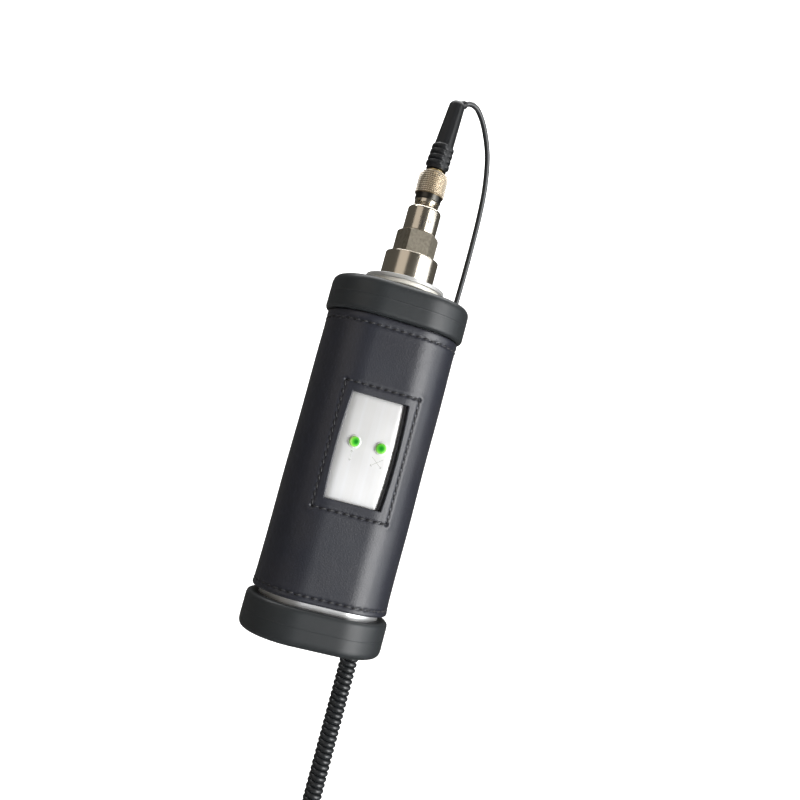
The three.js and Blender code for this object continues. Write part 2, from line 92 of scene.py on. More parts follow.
# The end plates' outer faces, and what stands in and on them
PLATE_FACE = 81.5
FITTING_X = 9.5
SCREW_X = 19.5
SCREW_Y = 8.5

# The coupling nut, from its lower edge
RIM_TOP = 1.9
BAND_TOP = 5.0
KNURL_LOW = 5.1
KNURL_SHOULDER = 13.8
KNURL_HIGH = 16.1
DRUM_RADIUS = 6.65
TOOTH_DEPTH = 0.6
SHOULDER_CURVE = 150.0  # how fast the knurl falls in above its shoulder, in metres per square metre

# The curly part's axis, and the lead's route from the boot to there, as in the CAD model
COIL_LOW, COIL_HIGH = cad_box("cable_coil")
COIL_X = (COIL_LOW.x + COIL_HIGH.x) / 2
COIL_Y = (COIL_LOW.y + COIL_HIGH.y) / 2
FAR_BOOT_LOW, FAR_BOOT_HIGH = cad_box("far_boot")
LEAD_ROUTE = (
    (5.95, 0, 184.3), (7.5, 0.3, 185.2), (9.6, 1.2, 185.7), (11.8, 2.1, 185.2),
    (14.4, 3.3, 183.3), (18.0, 5.2, 179.3), (22.0, 7.6, 172.8), (24.9, 10.0, 166.8),
    (27.1, 12.5, 160.1), (28.9, 15.0, 152.4), (30.0, 17.2, 145.6), (30.9, 19.5, 137.0),
    (31.5, 21.5, 127.4), (31.9, 23.2, 116.8), (32.1, 24.7, 105.4), (32.1, 25.9, 93.0),
    (31.9, 26.9, 79.6), (31.3, 27.6, 65.2), (30.4, 28.0, 49.6), (29.3, 28.1, 32.6),
    (28.2, 28.0, 15.0), (27.3, 27.8, -2.6), (26.6, 27.7, -19.6), (COIL_X, COIL_Y, -35.7),
)

# The camera: yaw, pitch and roll in degrees, and the way to the grip's middle as it sees it
CAMERA_TURN = (9.86, -5.17, 15.06)
CAMERA_OFFSET = (-0.0512, 0.0732, 0.9960)
CAMERA_AIM = (0, 0, 0.0008)

# Soft boxes: name, place, aim, width, height, watts, colour
LIGHTS = (
    ("right_box", (0.80, -0.92, -0.08), (0, 0, -0.02), 0.66, 1.4, 24.0, (1.0, 1.0, 1.0)),
    ("side_box", (1.10, -0.40, 0.0), (0, 0, 0.0), 0.62, 1.1, 5.0, (0.93, 0.96, 1.0)),
    ("left_box", (-0.81, -0.81, 0.38), (0, 0, 0.06), 0.86, 0.86, 1.5, (1.0, 0.91, 0.82)),
    ("front_box", (0.22, -1.24, -0.24), (0, 0, 0.0), 0.74, 0.42, 0.75, (0.93, 0.96, 1.0)),
    ("top_box", (0.1, -0.1, 1.3), (0, 0, 0), 0.9, 0.9, 7.0, (1.0, 1.0, 1.0)),
    ("back_wash", (0.0, 0.6, 2.1), (0, 2.6, 0.2), 3.4, 1.6, 110.0, (1.0, 1.0, 1.0)),
)


# ---------- settings ----------


def colour_setting(name, description, default):
    return bpy.props.FloatVectorProperty(
        name=name, description=description, default=default, subtype="COLOR", size=3, min=0, max=1)


def length_setting(name, description, default, low, high):
    """A length, given in millimetres."""
    return bpy.props.FloatProperty(
        name=name, description=description, subtype="DISTANCE", default=default * MM,
        min=low * MM, max=high * MM)


class SleeveSettings(bpy.types.PropertyGroup):
    leather: colour_setting("Leather", "Colour of the leather", (0.0085, 0.0108, 0.019))
    thread: colour_setting("Thread", "Colour of the stitches", (0.012, 0.012, 0.014))
    stitch_length: length_setting("Stitch length", "Length of the thread that shows", 3.0, 1.5, 8)
    slant: bpy.props.FloatProperty(
        name="Slant", description="How far each stitch leans off its row", subtype="ANGLE",
        default=math.radians(13), min=0, max=math.radians(45))
    thread_radius: length_setting("Thread radius", "Half the thread's thickness", 0.46, 0.1, 1)
    thickness: length_setting("Thickness", "Thickness of the leather", 1.8, 1, 3)


class BodySettings(bpy.types.PropertyGroup):
    rubber: colour_setting("Bumper rubber", "Colour of the end bumpers", (0.0115, 0.014, 0.0155))
    aluminium: colour_setting("Aluminium", "Colour of the body's metal", (0.92, 0.93, 0.95))
    # The lamps' rim colour is the lightest stop of their ramp, painted light at the rim.
    lamp: colour_setting("Lamp", "Colour of the indicator lamps at their rims", (0.3, 0.58, 0.13))
    parting_ridge: length_setting(
        "Parting ridge", "Height of the moulding line around the bumpers", 0.07, 0, 0.4)


class SensorSettings(bpy.types.PropertyGroup):
    nickel: colour_setting("Nickel", "Colour of the plated metal", (0.69, 0.635, 0.54))
    steel: colour_setting("Hexagon steel", "Colour of the dull hexagon", (0.15, 0.133, 0.104))
    knurls_around: bpy.props.IntProperty(
        name="Knurls around", description="Points of the knurl in one row", default=48,
        min=12, max=72)
    knurl_rows: bpy.props.IntProperty(
        name="Knurl rows", description="Rows of points on the coupling nut", default=11,
        min=3, max=16)


class LeadSettings(bpy.types.PropertyGroup):
    jacket: colour_setting("Jacket", "Colour of the cable", (0.0115, 0.013, 0.0145))
    diameter: length_setting("Diameter", "Thickness of the cable", 2.78, 1, 6)
    pitch: length_setting(
        "Curl pitch", "Distance from turn to turn of the curly part", 2.84, 1, 12)


class StageSettings(bpy.types.PropertyGroup):
    distance: length_setting(
        "Camera distance", "From the camera to the middle of the grip", 400.6, 200, 2000)
    lens: bpy.props.FloatProperty(
        name="Lens", description="Focal length", subtype="DISTANCE_CAMERA", default=38.07, min=20,
        max=120)
    backdrop: colour_setting("Backdrop", "Colour of the floor and backdrop", (0.93, 0.93, 0.93))


SETTINGS = {
    "calibrator_sleeve": SleeveSettings,
    "calibrator_body": BodySettings,
    "calibrator_sensor": SensorSettings,
    "calibrator_lead": LeadSettings,
    "calibrator_stage": StageSettings,
}


# ---------- outlines ----------


def rounded(corners, steps=5, closed=True):
    """Corner points (a, b, radius) as a line whose corners are rounded."""
    line = []
    last = len(corners) - 1
    for i, (a, b, radius) in enumerate(corners):
        here = Vector((a, b))
        if radius == 0 or (not closed and i in (0, last)):
            line.append(here)
            continue
        before = Vector(corners[i - 1][:2]) - here
        after = Vector(corners[(i + 1) % len(corners)][:2]) - here
        reach = radius / math.tan(before.angle(after) / 2)
        reach = min(reach, 0.49 * before.length, 0.49 * after.length)
        start = here + before.normalized() * reach
        end = here + after.normalized() * reach
        for k in range(steps + 1):
            t = k / steps
            line.append(start.lerp(here, t).lerp(here.lerp(end, t), t))
    return line


def oval_station(s):
    """The oval at arc length s on the leather's surface, from the front's middle towards +X.

    Returns the corner centre (or the point on the line between two) and the outward direction.
    """
    quarter = LEATHER_RADIUS * math.pi / 2
    x, y = CORNER_X, CORNER_Y
    runs = (
        (x, (0, -y), (x, -y), -90), (quarter, (x, -y), None, -90),
        (2 * y, (x, -y), (x, y), 0), (quarter, (x, y), None, 0),
        (2 * x, (x, y), (-x, y), 90), (quarter, (-x, y), None, 90),
        (2 * y, (-x, y), (-x, -y), 180), (quarter, (-x, -y), None, 180),
        (x, (-x, -y), (0, -y), 270),
    )
    s %= OVAL_LENGTH
    for length, start, end, heading in runs:
        if s <= length + 1e-9:
            break
        s -= length
    angle = math.radians(heading)
    centre = Vector(start)
    if end is None:
        angle += s / LEATHER_RADIUS
    else:
        centre = centre.lerp(Vector(end), s / length)
    return centre, Vector((math.cos(angle), math.sin(angle)))


def oval_reach(x):
    """Arc length on the leather's front from the middle to the place where it is x wide."""
    if x <= CORNER_X:
        return x
    return CORNER_X + LEATHER_RADIUS * math.asin((x - CORNER_X) / LEATHER_RADIUS)


def oval_point(s, radius, z):
    centre, out = oval_station(s)
    return Vector((centre.x + radius * out.x, centre.y + radius * out.y, z))


def graded(low, high, step, marks, fine, reach, keep=()):
    """Values from low to high, a step apart, and closer together near the marks."""
    count = max(1, round((high - low) / step))
    coarse = [low + (high - low) * i / count for i in range(count + 1)]
    steps = round(reach / fine)
    near = [m + k * fine for m in marks for k in range(-steps, steps + 1)]
    far = [v for v in coarse if all(abs(v - m) > reach + fine / 2 for m in marks)]
    merged = []
    for value in sorted(v for v in near + far + list(keep) if low <= v <= high):
        if merged and value - merged[-1] < fine / 3:
            if value in keep:
                merged[-1] = value
            continue
        merged.append(value)
    return merged


def through(points, step):
    """A smooth line through points, sampled about a step apart."""
    knots = [Vector(p) for p in points]
    knots = [2 * knots[0] - knots[1], *knots, 2 * knots[-1] - knots[-2]]
    line = []
    for a, b, c, d in zip(knots, knots[1:], knots[2:], knots[3:]):
        count = max(1, round((c - b).length / step))
        for i in range(count):
            t = i / count
            line.append(0.5 * (2 * b + (c - a) * t + (2 * a - 5 * b + 4 * c - d) * t * t
                               + (3 * b - a - 3 * c + d) * t ** 3))
    line.append(knots[-2])
    return line


# ---------- mesh making ----------


def smooth(mesh, sharp=35):
    mesh.shade_smooth()
    mesh.set_sharp_from_angle(angle=math.radians(sharp))
    return mesh


def new_mesh(name, points, faces, sharp=35):
    """A smooth-shaded mesh in metres from points in millimetres, its faces turned outwards."""
    mesh = bpy.data.meshes.new(name)
    mesh.from_pydata([tuple(MM * c for c in p) for p in points], [], faces)
    shell = bmesh.new()
    shell.from_mesh(mesh)
    bmesh.ops.remove_doubles(shell, verts=shell.verts, dist=1e-7)
    bmesh.ops.recalc_face_normals(shell, faces=shell.faces)
    shell.to_mesh(mesh)
    shell.free()
    return smooth(mesh, sharp)


def points_mesh(name, points):
    """Loose points in metres from points in millimetres, for a geometry tree to build on."""
    mesh = bpy.data.meshes.new(name)
    mesh.from_pydata([tuple(MM * c for c in p) for p in points], [], [])
    return mesh


def swept(sections, closed_line):
    """Faces between neighbouring sections, which are equal lists of points around a closed way."""
    faces = []
    wide = len(sections[0])
    links = wide if closed_line else wide - 1
    for i in range(len(sections)):
        here = i * wide
        there = (i + 1) % len(sections) * wide
        for j in range(links):
            k = (j + 1) % wide
            faces.append((here + j, there + j, there + k, here + k))
    return [p for section in sections for p in section], faces


def oval_piece(name, profile, step=1.6):
    """A closed profile of (radius, height) points carried around the oval."""
    count = round(OVAL_LENGTH / step)
    sections = [
        [oval_point(OVAL_LENGTH * i / count, p.x, p.y) for p in profile] for i in range(count)
    ]
    return new_mesh(name, *swept(sections, True))


def turned(name, corners, steps=4, segments=48, closed=False, place=None, sharp=35):
    """Corners (radius, height, rounding) turned about Z, then placed by a matrix."""
    profile = rounded(corners, steps, closed)
    sections = []
    for i in range(segments):
        angle = 2 * math.pi * i / segments
        spoke = [Vector((p.x * math.cos(angle), p.x * math.sin(angle), p.y)) for p in profile]
        sections.append([place @ p for p in spoke] if place else spoke)
    return new_mesh(name, *swept(sections, closed), sharp)


def rod(name, radius, low, high, segments, place=None, sharp=35):
    """A plain rod along Z, with as many sides as it has segments."""
    corners = [(0, low, 0), (radius, low, 0), (radius, high, 0), (0, high, 0)]
    return turned(name, corners, segments=segments, place=place, sharp=sharp)


def joined(name, *meshes):
    """One mesh from several, each part keeping its shape and material."""
    result = bpy.data.meshes.new(name)
    sheet = bmesh.new()
    for number, mesh in enumerate(meshes):
        first = len(sheet.faces)
        sheet.from_mesh(mesh)
        sheet.faces.ensure_lookup_table()
        result.materials.append(mesh.materials[0])
        for face in sheet.faces[first:]:
            face.material_index = number
    sheet.to_mesh(result)
    sheet.free()
    return result


def in_scene(name, data):
    """A new object that holds the data, put into the scene."""
    item = bpy.data.objects.new(name, data)
    bpy.context.scene.collection.objects.link(item)
    return item


def evaluated(worker):
    """The worker's evaluated mesh, after which the worker is removed."""
    graph = bpy.context.evaluated_depsgraph_get()
    result = bpy.data.meshes.new_from_object(worker.evaluated_get(graph), depsgraph=graph)
    bpy.data.objects.remove(worker)
    return result


def applied(mesh, kind, **values):
    """The mesh after one modifier."""
    worker = in_scene("worker", mesh)
    modifier = worker.modifiers.new(kind.lower(), kind)
    for key, value in values.items():
        setattr(modifier, key, value)
    return evaluated(worker)


def bevelled(mesh, width, segments, angle):
    """The mesh with rounded edges wherever its faces meet at more than the angle."""
    return applied(mesh, "BEVEL", width=width * MM, segments=segments, limit_method="ANGLE",
                   angle_limit=math.radians(angle))


def cut(mesh, tool, operation="DIFFERENCE"):
    """The mesh cut by, joined with or kept inside another."""
    cutter = in_scene("cutter", tool)
    result = applied(mesh, "BOOLEAN", operation=operation, object=cutter, solver="EXACT")
    bpy.data.objects.remove(cutter)
    return result


def finished(mesh, finish):
    """The mesh with this finish and no other."""
    mesh.materials.clear()
    mesh.materials.append(look(finish))
    return mesh


def piece(name, mesh, finish, body, nodes=()):
    """Puts a finished mesh into the scene, on its body and in place of its CAD nodes."""
    if finish:
        finished(mesh, finish)
    mesh.name = name
    item = in_scene(name, mesh)
    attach(item, body)
    if nodes:
        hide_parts(*nodes)


def turned_part(name, corners, finish, body, slot, node=None, **shape):
    """A turned piece that takes the place of one CAD node, or adds to one."""
    piece(name, turned(name, corners, **shape), finish, body, [node] if node else [])


def bars_piece(name, bars, finish, body):
    """Short flat bars, each given by its four back corners and then its four front ones."""
    sides = ((0, 1, 2, 3), (4, 5, 6, 7), (0, 1, 5, 4), (1, 2, 6, 5), (2, 3, 7, 6), (3, 0, 4, 7))
    points = [p for bar in bars for p in bar]
    faces = [tuple(8 * n + v for v in side) for n in range(len(bars)) for side in sides]
    piece(name, new_mesh(name, points, faces), finish, body)


# ---------- node trees ----------


class Sheet:
    """Adds nodes to a tree. A value that is a node or another node's socket becomes a link."""

    def __init__(self, tree):
        self.tree = tree

    def add(self, kind, values=None, **settings):
        node = self.tree.nodes.new(kind)
        for key, value in settings.items():
            setattr(node, key, value)
        for key, value in (values or {}).items():
            if isinstance(value, bpy.types.Node):
                value = value.outputs[0]
            if isinstance(value, bpy.types.NodeSocket):
                self.tree.links.new(value, node.inputs[key])
            else:
                node.inputs[key].default_value = value
        return node

    def compute(self, operation, a, b=0.0):
        return self.add("ShaderNodeMath", {0: a, 1: b}, operation=operation).outputs[0]

    def plus(self, a, b):
        return self.compute("ADD", a, b)

    def minus(self, a, b):
        return self.compute("SUBTRACT", a, b)

    def times(self, a, b):
        return self.compute("MULTIPLY", a, b)

    def over(self, a, b):
        return self.compute("DIVIDE", a, b)

    def squares(self, a, b):
        """The sum of two squares."""
        return self.plus(self.times(a, a), self.times(b, b))

    def xyz(self, x, y, z):
        return self.add("ShaderNodeCombineXYZ", {"X": x, "Y": y, "Z": z}).outputs[0]


def new_tree(name, kind, inputs, outputs):
    """A tree's sheet and its input sockets, from the types of its named inputs and outputs."""
    tree = bpy.data.node_groups.new(name, kind)
    for way, sockets in (("INPUT", inputs), ("OUTPUT", outputs)):
        for label, socket in sockets.items():
            tree.interface.new_socket(label, in_out=way, socket_type=f"NodeSocket{socket}")
    sheet = Sheet(tree)
    return sheet, sheet.add("NodeGroupInput").outputs


def geometry_tree(name, **inputs):
    """A geometry tree, whose inputs' names have underscores for spaces."""
    named = {label.replace("_", " "): socket for label, socket in inputs.items()}
    return new_tree(name, "GeometryNodeTree", {"Geometry": "Geometry", **named},
                    {"Geometry": "Geometry"})


def end_tree(sheet, given, instances):
    """Realises the instances, gives them their material and ends the tree."""
    real = sheet.add("GeometryNodeRealizeInstances", {"Geometry": instances})
    coated = sheet.add("GeometryNodeSetMaterial", {"Geometry": real, "Material": given["Material"]})
    sheet.add("NodeGroupOutput", {"Geometry": coated})
    return sheet.tree


def grown(mesh, tree, values):
    """The mesh that a geometry tree makes from this one."""
    worker = in_scene("worker", mesh)
    modifier = worker.modifiers.new("tree", "NODES")
    modifier.node_group = tree
    for item in tree.interface.items_tree:
        if item.in_out == "INPUT" and item.name in values:
            modifier[item.identifier] = values[item.name]
    result = evaluated(worker)
    material = result.materials[-1]
    result.materials.clear()
    result.materials.append(material)
    return result


def stitch_tree():
    """A thread at every point, an arch that dips into the leather at both of its ends.

    The points carry two attributes: outward, which way the leather faces, and along, the seam's
    direction.
    """
    sheet, given = geometry_tree("stitch_rows", Length="Float", Thread_radius="Float",
                                 Slant="Float", Material="Material")
    half = sheet.times(given["Length"], 0.5)
    dip = sheet.times(given["Thread radius"], -1.7)
    crown = sheet.times(given["Thread radius"], 1.9)
    arch = sheet.add("GeometryNodeCurveQuadraticBezier", {
        "Resolution": 8, "Start": sheet.xyz(sheet.times(half, -1.0), 0.0, dip),
        "Middle": sheet.xyz(0.0, 0.0, crown), "End": sheet.xyz(half, 0.0, dip),
    })
    section = sheet.add("GeometryNodeCurvePrimitiveCircle", {
        "Resolution": 8, "Radius": given["Thread radius"],
    })
    thread = sheet.add("GeometryNodeCurveToMesh", {
        "Curve": arch, "Profile Curve": section, "Fill Caps": True,
    })
    along, outward = (
        sheet.add("GeometryNodeInputNamedAttribute", {"Name": name}, data_type="FLOAT_VECTOR")
        for name in ("along", "outward")
    )
    laid = sheet.add("FunctionNodeAlignRotationToVector", {"Vector": along}, axis="X")
    upright = sheet.add("FunctionNodeAlignRotationToVector", {
        "Rotation": laid, "Vector": outward,
    }, axis="Z", pivot_axis="X")
    lean = sheet.add("FunctionNodeEulerToRotation", {"Euler": sheet.xyz(0.0, 0.0, given["Slant"])})
    leaning = sheet.add("FunctionNodeRotateRotation", {
        "Rotation": upright, "Rotate By": lean,
    }, rotation_space="LOCAL")
    placed = sheet.add("GeometryNodeInstanceOnPoints", {
        "Points": given["Geometry"], "Instance": thread, "Rotation": leaning,
    })
    return end_tree(sheet, given, sheet.add("GeometryNodeSetShadeSmooth", {"Geometry": placed}))


def knurl_tree():
    """Rows of small four-sided points standing out of a drum, each row half a step round."""
    sheet, given = geometry_tree(
        "knurl", Around="Int", Rows="Int", Drum_radius="Float", Low="Float", High="Float",
        Shoulder="Float", Depth="Float", Material="Material")
    total = sheet.times(given["Around"], given["Rows"])
    points = sheet.add("GeometryNodeMeshLine", {"Count": total})
    index = sheet.add("GeometryNodeInputIndex").outputs[0]
    row = sheet.compute("FLOOR", sheet.over(sheet.plus(index, 0.5), given["Around"]))
    column = sheet.plus(index, sheet.times(row, 0.5))
    angle = sheet.times(sheet.over(column, given["Around"]), 2 * math.pi)
    pitch = sheet.over(sheet.minus(given["High"], given["Low"]), given["Rows"])
    height = sheet.plus(given["Low"], sheet.times(sheet.plus(row, 0.5), pitch))
    above = sheet.compute("MAXIMUM", sheet.minus(height, given["Shoulder"]), 0.0)
    drop = sheet.times(sheet.times(above, above), SHOULDER_CURVE)
    radius = sheet.minus(given["Drum radius"], drop)
    moved = sheet.add("GeometryNodeSetPosition", {
        "Geometry": points,
        "Position": sheet.xyz(sheet.times(sheet.compute("COSINE", angle), radius),
                              sheet.times(sheet.compute("SINE", angle), radius), height),
    })
    base = sheet.times(pitch, 0.54)
    point = sheet.add("GeometryNodeMeshCone", {
        "Vertices": 4, "Radius Top": sheet.times(base, 0.3), "Radius Bottom": base,
        "Depth": given["Depth"],
    })
    turn = sheet.add("FunctionNodeEulerToRotation", {"Euler": sheet.xyz(0.0, math.pi / 2, angle)})
    return end_tree(sheet, given, sheet.add("GeometryNodeInstanceOnPoints", {
        "Points": moved, "Instance": point, "Rotation": turn,
    }))


def screw_tree():
    """A copy of one screw at every point, upside down where the point lies below the middle."""
    sheet, given = geometry_tree("plate_screws", Screw="Object", Material="Material")
    screw = sheet.add("GeometryNodeObjectInfo", {"Object": given["Screw"]})
    height = sheet.add("ShaderNodeSeparateXYZ", {
        "Vector": sheet.add("GeometryNodeInputPosition"),
    }).outputs["Z"]
    flip = sheet.times(sheet.compute("LESS_THAN", height, 0.0), math.pi)
    turn = sheet.add("FunctionNodeEulerToRotation", {"Euler": sheet.xyz(flip, 0.0, 0.4)})
    return end_tree(sheet, given, sheet.add("GeometryNodeInstanceOnPoints", {
        "Points": given["Geometry"], "Instance": screw.outputs["Geometry"], "Rotation": turn,
    }))


# ---------- shader groups ----------


@cache
def grain_group():
    """Fine cells with soft borders, and slow patches that thin them out in places."""
    sheet, given = new_tree(
        "surface_grain", "ShaderNodeTree",
        {"Vector": "Vector", "Scale": "Float", "Patches": "Float"},
        {"Height": "Float", "Patch": "Float"})
    cells = sheet.add("ShaderNodeTexVoronoi", {
        "Vector": given["Vector"], "Scale": given["Scale"], "Randomness": 1.0,
    }, feature="SMOOTH_F1")
    fibres = sheet.add("ShaderNodeTexNoise", {
        "Vector": given["Vector"], "Scale": sheet.times(given["Scale"], 2.3), "Detail": 3.0,
        "Roughness": 0.6,
    })
    patch = sheet.add("ShaderNodeTexNoise", {
        "Vector": given["Vector"], "Scale": given["Patches"], "Detail": 3.0, "Roughness": 0.55,
    })
    both = sheet.plus(cells, sheet.times(fibres, 0.45))
    sheet.add("NodeGroupOutput", {
        "Height": sheet.times(both, sheet.plus(patch, 0.35)), "Patch": patch,
    })
    return sheet.tree


@cache
def handling_group():
    """Broad faint smears and finer specks, for roughness that is never quite even."""
    sheet, given = new_tree(
        "handling_marks", "ShaderNodeTree",
        {"Vector": "Vector", "Scale": "Float", "Amount": "Float"}, {"Mask": "Float"})
    broad = sheet.add("ShaderNodeTexNoise", {
        "Vector": given["Vector"], "Scale": given["Scale"], "Detail": 4.0, "Roughness": 0.6,
        "Distortion": 0.6,
    })
    fine = sheet.add("ShaderNodeTexNoise", {
        "Vector": given["Vector"], "Scale": sheet.times(given["Scale"], 9.0), "Detail": 2.0,
    })
    mixed = sheet.plus(sheet.times(broad, 0.7), sheet.times(fine, 0.3))
    sheet.add("NodeGroupOutput", {"Mask": sheet.times(sheet.minus(mixed, 0.5), given["Amount"])})
    return sheet.tree


@cache
def turning_group():
    """Fine tool lines around a turned piece, on its faces as well as on its sides."""
    sheet, given = new_tree(
        "turning_lines", "ShaderNodeTree", {"Vector": "Vector", "Lines": "Float"},
        {"Height": "Float"})
    x, y, z = sheet.add("ShaderNodeSeparateXYZ", {"Vector": given["Vector"]}).outputs
    radius = sheet.compute("SQRT", sheet.squares(x, y))
    lines = sheet.add("ShaderNodeTexNoise", {
        "Vector": sheet.xyz(radius, z, 0.0), "Scale": given["Lines"], "Detail": 2.0,
        "Roughness": 0.7,
    })
    sheet.add("NodeGroupOutput", {"Height": lines})
    return sheet.tree


# ---------- materials ----------


class Finish:
    """A material with a Principled shader and its surface effects, on Object coordinates.

    The colour may be the setting that holds it. The effects are:
    grain: cells and patches in a metre, depth in metres and strength;
    turning: tool lines in a metre, depth in metres and strength;
    marks: smears in a metre and how much they change the roughness;
    shade: the colour that shows in the grain's patches, or else in the marks;
    sockets: other values of the shader.
    """

    def __init__(self, name, colour, roughness, metallic=0.0, grain=None, turning=None,
                 marks=None, shade=None, sockets=None):
        if isinstance(colour, str):
            colour = attrgetter(f"calibrator_{colour}")(bpy.context.scene)
        self.colour = colour
        self.material = bpy.data.materials.new(name)
        self.material.use_nodes = True
        self.material.diffuse_color = (*colour, 1.0)
        tree = self.material.node_tree
        tree.nodes.clear()
        self.sheet = Sheet(tree)
        self.shader = self.sheet.add("ShaderNodeBsdfPrincipled", {
            "Base Color": (*colour, 1.0), "Roughness": roughness, "Metallic": metallic,
            **(sockets or {}),
        })
        self.sheet.add("ShaderNodeOutputMaterial", {"Surface": self.shader})
        self.place = self.sheet.add("ShaderNodeTexCoord").outputs["Object"]
        mask = None
        if grain:
            cells, patches, depth, strength = grain
            effect = self.group(grain_group(), Scale=cells, Patches=patches)
            self.bump(effect, depth, strength)
            mask = effect.outputs["Patch"]
        if turning:
            lines, depth, strength = turning
            self.bump(self.group(turning_group(), Lines=lines), depth, strength)
        if marks:
            scale, amount = marks
            effect = self.group(handling_group(), Scale=scale, Amount=amount)
            self.link(self.sheet.plus(effect, roughness), "Roughness")
            mask = mask or effect.outputs["Mask"]
        if shade:
            self.blend(mask, shade)

    def group(self, tree, **values):
        return self.sheet.add("ShaderNodeGroup", {"Vector": self.place, **values}, node_tree=tree)

    def link(self, socket, name):
        self.sheet.tree.links.new(socket, self.shader.inputs[name])

    def bump(self, height, distance, strength):
        bump = self.sheet.add("ShaderNodeBump", {
            "Height": height, "Distance": distance, "Strength": strength,
        })
        self.link(bump.outputs[0], "Normal")

    def blend(self, mask, shade):
        """Blends the colour towards a shade where the mask is high."""
        mix = self.sheet.add("ShaderNodeMix", {0: mask, 6: (*self.colour, 1.0), 7: (*shade, 1.0)},
                             data_type="RGBA")
        self.link(mix.outputs[2], "Base Color")


def aluminium_finish():
    """Satin anodised metal with faint drawn lines and broad streaks along the body."""
    finish = Finish("satin_aluminium", "body.aluminium", 0.32, 0.8, marks=(70, 0.12))

    def drawn(stretch, detail, roughness):
        return finish.sheet.add("ShaderNodeTexNoise", {
            "Vector": finish.sheet.add("ShaderNodeMapping", {
                "Vector": finish.place, "Scale": stretch,
            }),
            "Scale": 1.0, "Detail": detail, "Roughness": roughness,
        })

    finish.bump(drawn((2600.0, 2600.0, 30.0), 3.0, 0.6), 0.00002, 0.35)
    streaks = drawn((420.0, 420.0, 4.0), 4.0, 0.65)
    finish.blend(finish.sheet.times(streaks, 0.55), (0.70, 0.675, 0.61))
    return finish


def lamp_finish():
    """Tinted epoxy domes, darker in the middle where the chip sits. The dark middle is shifted to
    one side and the rim made lighter as painted light, and the faint emission of the same ramp is a
    painted glow.
    """
    # The emission strength gives the domes their faint painted glow.
    finish = Finish("green_lamp", "body.lamp", 0.12, marks=(300, 0.06),
                    sockets={"Specular IOR Level": 0.3, "Emission Strength": 0.12})
    sheet = finish.sheet
    apart = sheet.add("ShaderNodeSeparateXYZ", {"Vector": finish.place}).outputs
    x, z = apart["X"], apart["Z"]
    middle = sheet.times(sheet.compute("SIGN", x), LAMP_X * MM)
    # Painted light: the dark middle of each dome is moved a little to one side, so that the other
    # side looks lit.
    painted_light_shift = sheet.minus(0.25 * MM, sheet.times(middle, 0.06))
    across = sheet.minus(sheet.minus(x, middle), painted_light_shift)
    up = sheet.minus(z, LAMP_Z * MM)
    away = sheet.over(sheet.compute("SQRT", sheet.squares(across, up)), 2.5 * MM)
    ramp = sheet.add("ShaderNodeValToRGB", {0: away})
    # From the dark middle out to the rim; the lighter outer stops paint light at the rim.
    stops = ((0.0, (0.006, 0.13, 0.008)), (0.32, (0.012, 0.2, 0.012)), (0.6, (0.05, 0.36, 0.02)),
             (0.85, (0.16, 0.46, 0.06)), (1.0, finish.colour))
    elements = ramp.color_ramp.elements
    while len(elements) < len(stops):
        elements.new(0.5)
    for element, (place, colour) in zip(elements, stops):
        element.position = place
        element.color = (*colour, 1)
    for name in ("Base Color", "Emission Color"):
        finish.link(ramp.outputs[0], name)
    return finish


def metal(name, colour, roughness, metallic=1.0, turning=(3800, 0.00001, 0.3), marks=(150, 0.12)):
    return Finish(name, colour, roughness, metallic, turning=turning, marks=marks)


def plastic(name, colour, roughness=0.45):
    return Finish(name, colour, roughness, grain=(4000, 100, 0.00002, 0.3), marks=(120, 0.15))


matt_metal = partial(metal, roughness=0.44, turning=(5200, 0.00002, 0.5), marks=(90, 0.1))

